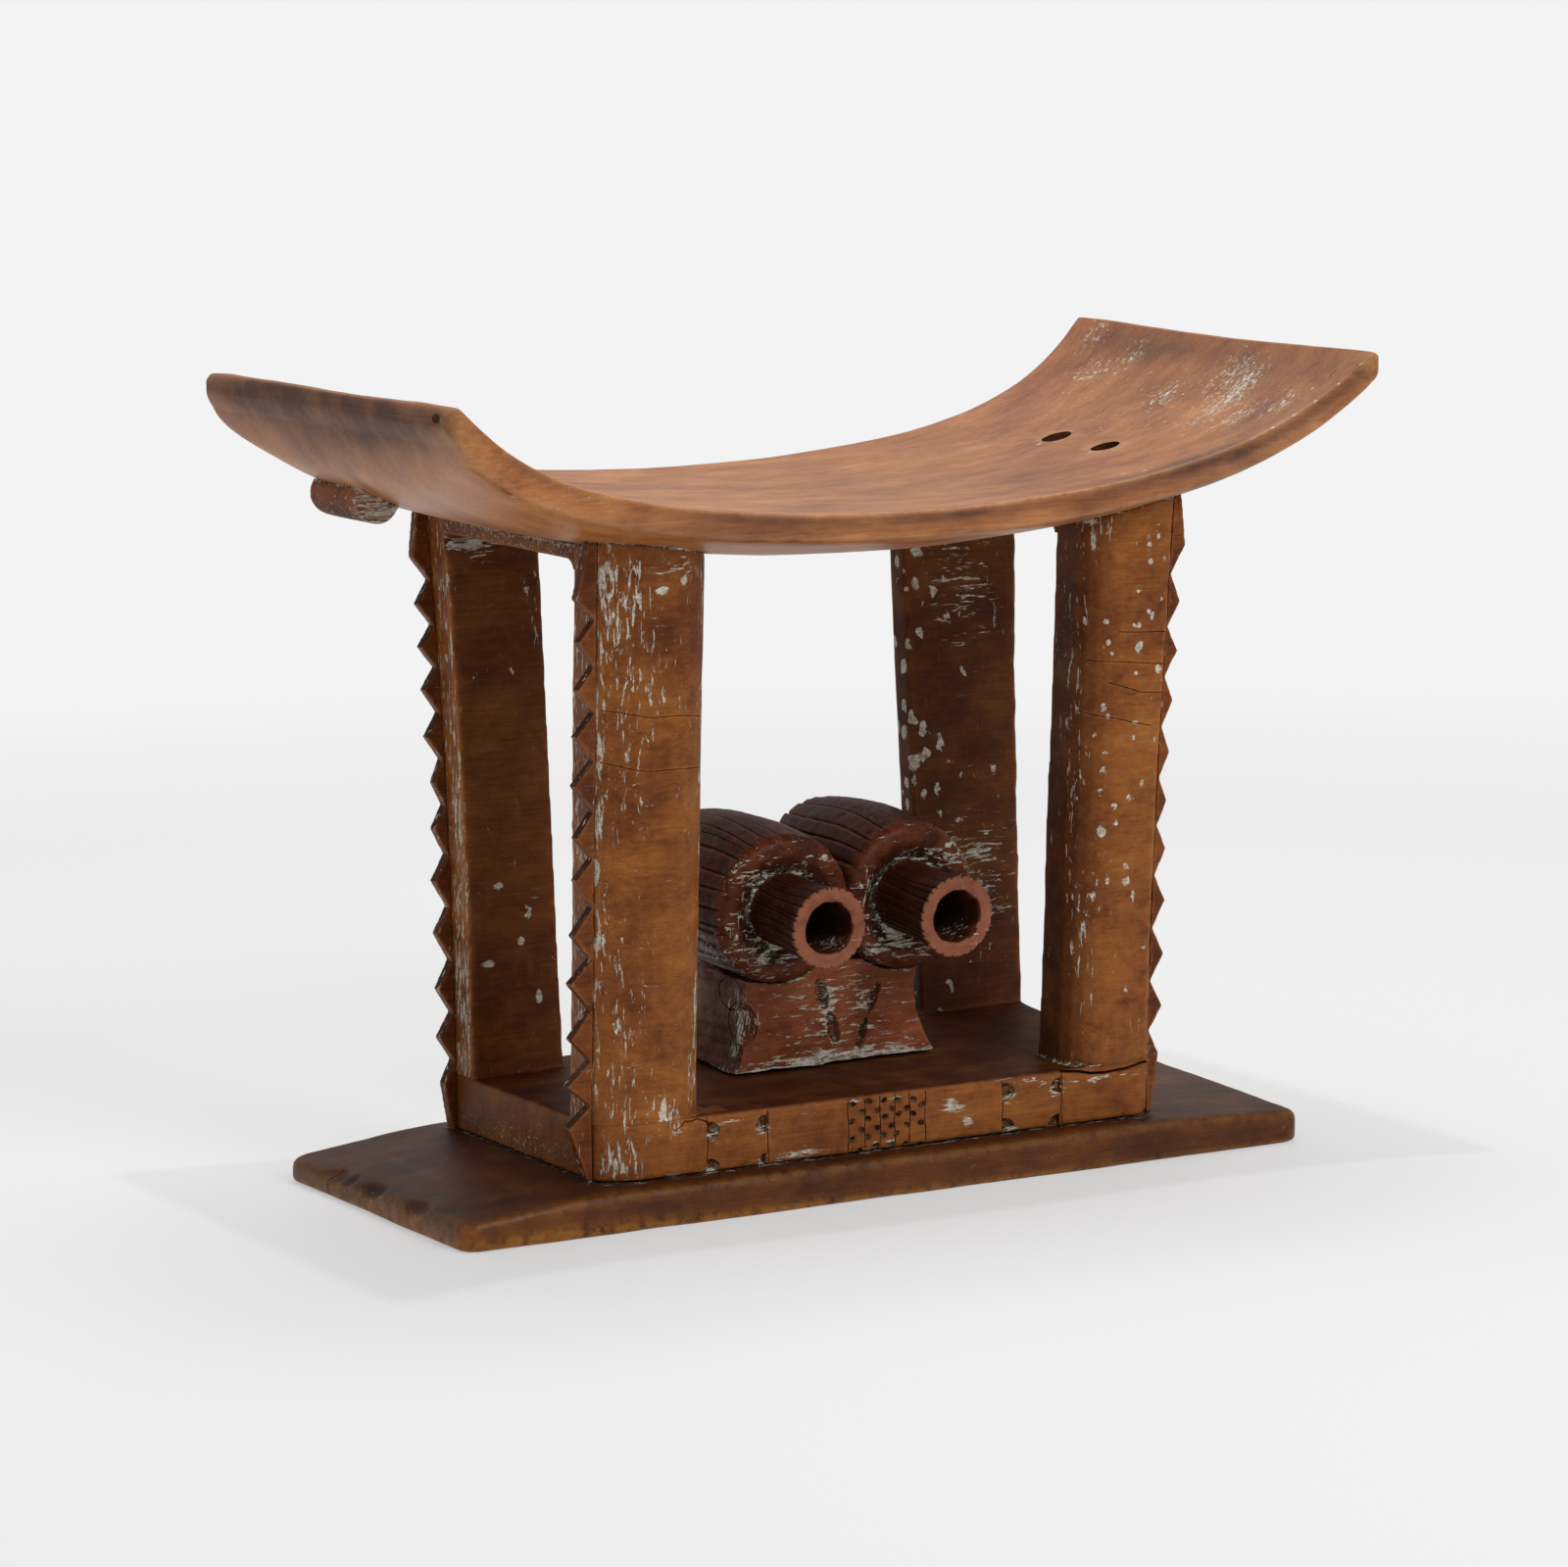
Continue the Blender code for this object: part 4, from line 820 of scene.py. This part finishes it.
# marks on the plinth's front: scored lines, punches and notches with their straight edge on a line
front = -plinth["side"]
marks = []
for x in plinth["lines"] + plinth["checker"]:
    path = [(x + 0.25 * math.sin(0.9 * k + x), front, plinth["low"] + 0.5 + k * 3.1) for k in range(10)]
    marks.append(blade(path, (0, 1, 0), 0.7, 1.0))
for k, (x, z) in enumerate(plinth["punches"]):
    marks.append(lens((x, front - 0.2, z), (2.2, 2.4, 1.4), (0, 0.5 * math.sin(k * 2.1), 0.25), 2))
for x, side, z, width, height in plinth["notches"]:
    notch = lens((x, front + 0.1, z), (width, 3.0, height / 2))
    places = coordinates(notch)
    behind = (places[:, 0] / mm - x) * side < 0
    places[behind, 0] = (x + side * 0.02 * (places[behind, 0] / mm - x)) * mm
    setCoordinates(notch, places)
    marks.append(notch)
for mark in marks:
    carve(block, mark)
for path, width, depth in plinth["cracks"]:
    crack(block, path, width, depth)
spots = plinth["spots"]
spots["grime"] = [(x, front + 1.3, z, 2.1, 1.6, 1.5, 1.0) for x, z in plinth["punches"]]
spots["dark"] = list(spots["grime"])
spots["dash"] += [(x, front, z + 1.5, 3.2, 1.5, 1.2, 0.5) for x, z in plinth["punches"] if z > 45 or z < 25]
spots["dash"] += [(x + side * width * 0.5, front, z - height * 0.3, width * 0.6, 3, height * 0.35, 0.75)
                  for x, side, z, width, height in plinth["notches"]]
finish(block, ["plinth"], "stainedSesePost", "frame_wood", spots=spots, parted=hollows, **plinth["paint"])
for node, post in posts.items():
    for path in post["hairlines"]:
        crack(pieces[node], path, 0.5, 1.5)
    post["spots"]["scar"] += [(x, post["scarDepth"], z, width, 16, height, post["scarShare"])
                              for x, z, width, height in post["scars"]]
    finish(pieces[node], [node], "stainedSesePost", "frame_wood", spots=post["spots"], near=post["near"],
           facing=post["facing"] + postBacks, base={"drip": 0.08, "dash": 0.05, "blot": 0.10}, parted=hollows)

fins = {
    "names": {"fin_front_left": "finFrontLeft", "fin_front_right": "finFrontRight",
              "fin_back_left": "finBackLeft", "fin_back_right": "finBackRight"},
    "voxel": 0.65, "rounds": 2, "marks": ((9, 0.35),),
    # dark on the upward slopes: dark paint on the teeth, and painted shade under the seat
    "paint": {"facing": [("dark", (0, 0, 2.2), 1.0), ("drip", (-1, 0, 0), 0.26), ("drip", (1, 0, 0), 0.22)],
              "near": ["base_board", "seat"], "cavity": 0.3, "base": {"grime": 0.05, "drip": 0.12}},
}
for node, name in fins["names"].items():
    fin = copyOfNode(node, name)
    soften(fin, fins["voxel"], fins["rounds"])
    handMarks(fin, fins["marks"])
    finish(fin, [node], "carvedSeseFin", "fin_wood", **fins["paint"])

rails = {
    "names": {"rail_left": "railLeft", "rail_right": "railRight"}, "stretch": 1.012,  # its ends go into the posts
    "voxel": 1.0, "rounds": 2, "marks": ((20, 0.5),),
    "paint": {"near": ["seat"], "base": {"dash": 0.38, "grime": 0.1, "dark": 0.3}},
}
for node, name in rails["names"].items():
    rail = copyOfNode(node, name)
    setCoordinates(rail, coordinates(rail) * (1, rails["stretch"], 1))
    soften(rail, rails["voxel"], rails["rounds"])
    handMarks(rail, rails["marks"])
    finish(rail, [node], "stainedSesePost", "frame_wood", **rails["paint"])

drums = {
    "middle": 18.4, "halfSpacing": 37.7, "height": 138.4, "ringPlace": -21.2, "tilt": math.radians(3.6),
    "length": 96.0, "ring": 36.2, "radii": (39.3, 41.2, 35.5), "rim": 8.8, "recess": 4.5, "flutes": 30, "flute": 2.1,
    "spokes": 540, "footFlutes": 27, "footFlute": 1.3, "footLength": 49.0, "footRoot": 19.6, "footWaist": 19.2,
    "footMouth": 21.8, "rightDrift": 1.4, "bore": 13.9, "boreDepth": 40.0, "marks": ((16, 0.6), (5, 0.35)),
    "footMarks": ((12, 0.4),),
    # places are measured from the middle of the ring, along the drum's own axes
    "spots": {
        "worn": [(0, 0, 33, 40, 5, 8, 0.35)], "blot": [(0, 0, 0, 60, 5, 60, 0.55)],
        "dash": [(0, 0, 0, 60, 4, 60, 0.12), (0, 2, -24, 34, 6, 11, 0.5), (-30, 20, -20, 16, 18, 14, 0.5)],
        "dark": [(12, 0, 33, 7, 5, 5, 0.7), (-34, 0, 6, 5, 5, 8, 0.7)], "drip": [(-26, 1, 0, 6, 4, 22, 0.5)],
        "scar": [(22, 0, 26, 4, 4, 2, 0.8), (-30, 0, -12, 2, 4, 4, 0.7)]},
    "outerDash": (20, 2, 20, 16, 5, 9, 0.42),
    "paint": {"rounds": 4, "cavity": 0.13, "joint": 1.6, "base": {"dash": 0.12}},
    "footSpots": {"dark": [(0, -26, 0, 14.5, 20, 14.5, 0.6)], "grime": [(0, -20, 0, 13.5, 18, 13.5, 0.55)],
                  "dash": [(4, -36, -10, 9, 12, 6, 0.6)]},
    "footPaint": {"rounds": 4, "cavity": 0.13, "base": {"dash": 0.10}},
}


# Angle of a spoke, with the spokes drawn together where the flutes are cut
def spoke(k, count):
    phase = k / drums["spokes"] * count
    return (phase + 0.8 * math.sin(2 * math.pi * phase) / (2 * math.pi)) / count * 2 * math.pi


# Depth share of the flutes at an angle: strips that rise a little and end in a narrow cut
def grooves(turn, count):
    phase = (turn * count / (2 * math.pi)) % 1
    return 0.75 * math.exp(-((phase - 0.5) / 0.085) ** 2) + 0.5 * ((phase + 0.5) % 1)


def wander(turn, distance, seed):
    return (0.05 * math.sin(5 * turn + seed) + 0.03 * math.sin(11 * turn + 2 * seed)
            + 0.025 * math.sin(4 * turn + 0.07 * distance))


def barrel(share):
    front, middle, back = drums["radii"]
    return front * (1 - share) * (1 - 2 * share) + 4 * middle * share * (1 - share) + back * share * (2 * share - 1)


def placedSpots(spots, place):
    return {layer: [(*(place @ (Vector(row[:3]) * mm) / mm), *row[3:]) for row in rows] for layer, rows in spots.items()}


for side, word in ((-1, "left"), (1, "right")):
    place = Matrix.Translation(
        Vector((drums["middle"] + side * drums["halfSpacing"], drums["ringPlace"], drums["height"])) * mm)
    place = place @ Matrix.Rotation(drums["tilt"], 4, "X")
    inner = drums["ring"] - drums["rim"]
    # outline of the shell: distance along the drum, radius, share of the flutes' depth
    profile = [(drums["recess"], 1.0, 0), (drums["recess"], 12.0, 0), (drums["recess"], drums["footRoot"] + 0.6, 0),
               (drums["recess"] - 0.6, drums["footRoot"] + 2.6, 0), (2.4, inner - 2.0, 0), (1.4, inner + 0.3, 0),
               (0.5, inner + 2.2, 0), (0, inner + 4.2, 0), (0.3, drums["ring"] - 1.8, 0),
               (0.9, drums["ring"], 0), (2.1, drums["ring"] + 1.8, 0.25)]
    for k in range(1, 41):
        share = k / 40
        profile.append((2.5 + (drums["length"] - 2.5) * share, barrel(share), min(1, 0.25 + share * 8)))
    profile += [(drums["length"], barrel(1) - 2, 0.4), (drums["length"], barrel(1) * 0.6, 0),
                (drums["length"], 1.0, 0)]
    rings = []
    for distance, radius, share in profile:
        ring = []
        for k in range(drums["spokes"]):
            turn = spoke(k, drums["flutes"])
            r = radius - share * drums["flute"] * grooves(turn, drums["flutes"])
            if drums["footRoot"] < radius < drums["ring"] + 2 and distance < 4:
                r += 0.5 * math.sin(7 * turn + side) * math.sin(4 * turn)
            turn += wander(turn, distance, side)
            ring.append(place @ (Vector((r * math.cos(turn), distance, r * math.sin(turn))) * mm))
        rings.append(ring)
    shell = skin("drumShell" + word.capitalize(), rings)
    handMarks(shell, drums["marks"])
    # the two barrels meet along a flat
    onlySelect(shell)
    bpy.ops.object.mode_set(mode="EDIT")
    bpy.ops.mesh.select_all(action="SELECT")
    bpy.ops.mesh.bisect(plane_co=((drums["middle"] + side * 0.15) * mm, 0, 0), plane_no=(-side, 0, 0), use_fill=True,
                        clear_outer=True)
    bpy.ops.object.mode_set(mode="OBJECT")
    x, *rest = drums["outerDash"]
    spots = {**drums["spots"], "dash": drums["spots"]["dash"] + [(side * x, *rest)]}
    finish(shell, ["drum_shell_" + word], "smokedSeseDrum", "drum_wood", spots=placedSpots(spots, place),
           near=["drum_stand", "drum_foot_" + word], **drums["paint"])

    root = place @ Matrix.Translation((0, (drums["recess"] - 0.3) * mm, 0))
    drift = drums["rightDrift"] if side > 0 else 0
    mouth = -drums["footLength"]
    profile = [(1.5, 1.0, 0), (1.5, drums["footRoot"] - 1, 0)]
    for k in range(25):
        share = k / 24
        waist = 2 * share * (1 - share) * (drums["footRoot"] + drums["footMouth"] - 2 * drums["footWaist"])
        radius = (1 - share) * drums["footRoot"] + share * drums["footMouth"] - waist
        profile.append((-(drums["footLength"] - 0.8) * share, radius, 1))
    profile += [(mouth, drums["footMouth"] - 0.7, 0.8), (mouth - 0.1, drums["footMouth"] - 3, 0.2),
                (mouth, drums["bore"] + 2.5, 0), (mouth + 0.1, drums["bore"] + 0.8, 0),
                (mouth + 0.9, drums["bore"], 0)]
    for k in range(1, 15):
        profile.append((mouth + 0.9 + (drums["boreDepth"] - 0.9) * k / 14, drums["bore"] - 0.5 * k / 14, 0))
    profile += [(mouth + drums["boreDepth"], 8.0, 0), (mouth + drums["boreDepth"], 1.0, 0)]
    rings = []
    for distance, radius, share in profile:
        ring = []
        for k in range(drums["spokes"]):
            turn = spoke(k, drums["footFlutes"])
            r = radius - share * drums["footFlute"] * grooves(turn, drums["footFlutes"])
            turn += wander(turn, distance, 3 + side)
            if radius < drums["bore"] + 1:
                r += 0.25 * math.sin(7 * turn + distance * 0.3) * math.sin(3 * turn)
            away = drift * min(1, -distance / drums["footLength"]) if distance < 0 else 0
            ring.append(root @ (Vector((r * math.cos(turn) + away, distance, r * math.sin(turn) - away)) * mm))
        rings.append(ring)
    foot = skin("drumFoot" + word.capitalize(), rings)
    handMarks(foot, drums["footMarks"])
    finish(foot, ["drum_foot_" + word], "smokedSeseDrum", "mouth_wood", spots=placedSpots(drums["footSpots"], root),
           **drums["footPaint"])
    # the mouth ring shows bare wood
    foot.data.materials.append(materials["bareSeseMouth"])
    ahead = root.to_3x3() @ Vector((0, -1, 0))
    plane = root @ Vector((0, mouth * mm, 0))
    for face in foot.data.polygons:
        if (face.center - plane).dot(ahead) > -0.5 * mm and face.normal.dot(ahead) > 0.3:
            face.material_index = 1

stand = {
    # the front left corner swells by this much, centred on this height over this reach
    "fuller": 9.5, "fullerHeight": 84, "fullerReach": 20,
    # scoops: place, size, turn. The first four are the leaf gouges
    "scoops": (((7.0, -13, 89.5), (4.0, 4.4, 9.5), (0, -0.30, 0)),
              ((13.5, -13, 70.9), (4.0, 4.6, 10.5), (0, -0.25, 0)),
               ((38.3, -13, 84.8), (2.8, 5.0, 9.5), (0, 0.45, 0)),
               ((30.4, -13, 63.6), (2.6, 5.0, 12.0), (0, 0.32, 0)),
               ((-43, -14, 78), (9.5, 9, 12)), ((-46, 1, 93), (8, 13, 9)), ((-45, -3, 64), (5, 7, 7))),
    "rings": ((-41, -9, 78, 8.5, 11.5), (-42, 1, 92, 9, 8)), "hatches": 6, "corner": (0.66, 0.75, 0),
    "voxel": 0.8, "rounds": 1, "marks": ((22, 1.6), (9, 0.9)),
    "paint": {
        "spots": {
            "dash": [(20, -12, 82, 60, 8, 24, 0.31), (20, -12, 56, 60, 8, 4, 0.7), (10, -14, 80, 4, 5, 16, 0.6)],
            "blot": [(22, -12, 80, 50, 8, 26, 0.5)],
            "drip": [(-41, -9, 78, 9, 9, 11, 0.9), (-43, 2, 92, 8, 12, 9, 0.8), (-44, -2, 64, 7, 7, 8, 0.7)],
            "grime": [(-41, -9, 78, 8, 8, 10, 0.5), (10, -8, 80, 6, 5, 20, 0.7), (33, -8, 74, 5, 5, 18, 0.5)],
            "dark": [(34, -9, 74, 8, 6, 20, 0.8), (-46, 22, 80, 8, 30, 30, 0.8)]},
        # painted shade on the faces turned left
        "facing": [("dark", (-1, 0, 0), 0.8), ("dash", (0, 1, 0), 0.4), ("dash", (1, 0, 0), 0.3)], "joint": 1.4,
        "near": ["plinth", "drum_shell_left", "drum_shell_right"], "base": {"dash": 0.16, "grime": 0.05}},
}
drumStand = copyOfNode("drum_stand", "drumStand")
places = coordinates(drumStand)
rise = (places[:, 2] / mm - stand["fullerHeight"]) / stand["fullerReach"]
places[:, 0] -= stand["fuller"] * mm * np.exp(-rise ** 2) * (places[:, 0] < -30 * mm) * (places[:, 1] < 20 * mm)
setCoordinates(drumStand, places)
for scoop in stand["scoops"]:
    carve(drumStand, lens(*scoop))
soften(drumStand, stand["voxel"], stand["rounds"])
handMarks(drumStand, stand["marks"])
for x, y, z, width, height in stand["rings"]:
    # a cut line round each scoop, seen square on from the corner
    ring = [(x + 0.75 * width * math.cos(a), y - 0.66 * width * math.cos(a), z + height * math.sin(a))
            for a in (0.3 + 5.9 * k / 18 for k in range(19))]
    crack(drumStand, ring, 0.9, 1.6, stand["corner"])
for k in range(stand["hatches"]):
    x = -36 - 1.9 * k
    crack(drumStand, [(x + 2, -12 - x * 0.1, 85 - k), (x - 2, -12 - x * 0.1, 70 + k)], 0.5, 0.9, stand["corner"])
finish(drumStand, ["drum_stand"], "clayedSeseStand", "stand_wood", **stand["paint"])

base = {
    # chips along the left end: place, size and turn of the scoop
    "chips": (((-260, 50, 21.9), (24, 24, 16), (0, 0, 0.10)), ((-261, 36, 22.3), (24, 18, 16), (0, 0, -0.12)),
              ((-260, 5, 22.4), (24, 20, 16), (0, 0, 0.06)), ((-261, -46, 23.0), (24, 22, 16), (0, 0, 0.04))),
    "cracks": ((((-255, 53, 12), (-255, 55, 7), (-255, 52, 1)), 0.9, 6, (1, 0, 0)),
               (((-247, 54, 20), (-241, 53, 20), (-232, 55, 20)), 0.6, 2, (0, 0, -1))),
    "voxel": 1.6, "rounds": 1, "marks": ((60, 0.9), (16, 0.35)),
    "paint": {
        "spots": {
            "worn": [(-251, -40, 3, 6, 90, 5, 0.8), (-90, -103, 1, 190, 4, 4, 0.5), (-200, -100, 3, 60, 8, 5, 0.9),
                     (-252, -12, 8, 4, 7, 6, 0.8), (-252, 6, 9, 4, 4, 5, 0.7), (-230, -25, 17, 12, 30, 4, 0.25),
                     (-200, -60, 19, 22, 14, 4, 0.3), (215, -60, 18, 30, 16, 4, 0.35), (-176, 10, 19.5, 5, 8, 3, 0.7),
                     (226, -3, 18, 9, 12, 4, 0.8)],
            # the dark rows at x -245 and -246 are painted shade inside the chips
            "dark": [(170, -103, 8, 90, 6, 10, 0.5), (-245, 44, 12, 8, 24, 4, 0.6), (-245, 5, 12, 8, 15, 4, 0.6),
                     (-246, -46, 13, 8, 16, 4, 0.5), (-252, 20, 6, 4, 70, 6, 0.4)],
            "dash": [(-251, -10, 8, 4, 60, 5, 0.2)]},
        # painted shade on the top, under the seat
        "facing": [("dark", (0, 0, 1), 0.55)], "near": ["plinth", "fin_front_left", "fin_back_left"],
        "cavity": 0.5, "joint": 2.4, "touch": 0.6, "base": {"dash": 0.08}},
}
baseBoard = copyOfNode("base_board", "baseBoard")
for place, size, turn in base["chips"]:
    carve(baseBoard, lens(place, size, turn, 4))
soften(baseBoard, base["voxel"], base["rounds"])
handMarks(baseBoard, base["marks"])
for path, width, depth, into in base["cracks"]:
    crack(baseBoard, path, width, depth, into)
finish(baseBoard, ["base_board"], "footWornSeseBase", "base_wood", **base["paint"])
print("pieces ready")

studio = {
    # sizes here are in metres
    "floorRadius": 1.9, "fadeStart": 1.0, "fadeEnd": 0.98, "floorDrop": 0.0002, "background": "F3F3F3",
    "floor": "E9E9E9", "floorGlow": 0.40, "glowShare": 0.50, "world": 0.50,
    "lamps": (
        # name, place, target, size, power
        ("overheadLamp", (0.0, 0.03, 2.55), (0, 0, 0), 0.07, 9.0),
        ("softboxTop", (0.3, 0.7, 2.6), (0, 0, 0.3), 1.6, 30.0),
        ("softboxFront", (0.5, -2.6, 2.0), (0, 0, 0.2), 1.3, 36.0),
    ),
}
bpy.ops.object.select_all(action="DESELECT")
bpy.ops.mesh.primitive_circle_add(vertices=96, radius=studio["floorRadius"], fill_type="NGON",
                                  location=(0, 0, -studio["floorDrop"]))
floor = bpy.context.object
floor.name = "studioFloor"
floorMaterial = bpy.data.materials.new("paperSweep")  # matt white paper that fades into the backdrop
floorMaterial.use_nodes = True
tree = floorMaterial.node_tree
tree.nodes.clear()
place = addNode(tree, "TexCoord").outputs["Object"]
away = addNode(tree, "VectorMath", {"operation": "LENGTH"}, {0: place}).outputs["Value"]
fade = addNode(tree, "MapRange", smooth, {
    "Value": away, "From Min": studio["fadeStart"], "From Max": studio["floorRadius"] * studio["fadeEnd"]}).outputs[0]
paper = addNode(tree, "BsdfDiffuse", links={"Color": linear(studio["floor"])}).outputs[0]
# lit from below, as on a light table
glow = addNode(tree, "Emission", links={"Strength": studio["floorGlow"] / studio["glowShare"]}).outputs[0]
paper = addNode(tree, "MixShader", links={0: studio["glowShare"], 1: paper, 2: glow}).outputs[0]
clear = addNode(tree, "BsdfTransparent").outputs[0]
mixed = addNode(tree, "MixShader", links={0: fade, 1: paper, 2: clear}).outputs[0]
addNode(tree, "OutputMaterial", links={"Surface": mixed})
floor.data.materials.append(floorMaterial)

world = bpy.data.worlds.new("studioWorld")
bpy.context.scene.world = world
world.use_nodes = True
tree = world.node_tree
tree.nodes.clear()
rays = addNode(tree, "LightPath").outputs
seen = addNode(tree, "Math", {"operation": "MAXIMUM"}, {0: rays["Is Camera Ray"], 1: rays["Is Transmission Ray"]})
glow = addNode(tree, "Background", links={"Color": (1, 1, 1, 1), "Strength": studio["world"]}).outputs[0]
backdrop = addNode(tree, "Background", links={"Color": linear(studio["background"]), "Strength": 1.0}).outputs[0]
sky = addNode(tree, "MixShader", links={0: seen.outputs[0], 1: glow, 2: backdrop}).outputs[0]
addNode(tree, "OutputWorld", links={"Surface": sky})

for name, place, target, size, power in studio["lamps"]:
    lamp = bpy.data.lights.new(name, "AREA")
    lamp.shape = "DISK"
    lamp.size = size
    lamp.energy = power
    holder = bpy.data.objects.new(name, lamp)
    holder.location = place
    holder.rotation_euler = (Vector(target) - Vector(place)).to_track_quat("-Z", "Y").to_euler()
    bpy.context.scene.collection.objects.link(holder)

# place in metres, angles in radians, lens on a sensor 36 mm wide
view = {"place": (-1.5805, -2.7549, 0.6951), "yaw": 0.5187, "pitch": 0.1544, "roll": -0.0094, "lens": 141.27}
yaw, pitch, roll = view["yaw"], view["pitch"], view["roll"]
ahead = Vector((math.sin(yaw) * math.cos(pitch), math.cos(yaw) * math.cos(pitch), -math.sin(pitch)))
level = Vector((math.cos(yaw), -math.sin(yaw), 0))
upright = level.cross(ahead)
across = math.cos(roll) * level + math.sin(roll) * upright
upwards = -math.sin(roll) * level + math.cos(roll) * upright
cameraData = bpy.data.cameras.new("studioCamera")
cameraData.lens = view["lens"]
cameraData.sensor_width = 36
cameraData.clip_end = 60
camera = bpy.data.objects.new("studioCamera", cameraData)
camera.matrix_world = Matrix.Translation(view["place"]) @ Matrix((across, upwards, -ahead)).transposed().to_4x4()
bpy.context.scene.collection.objects.link(camera)
bpy.context.scene.camera = camera
bpy.context.scene.view_settings.view_transform = "Standard"
print("studio ready")
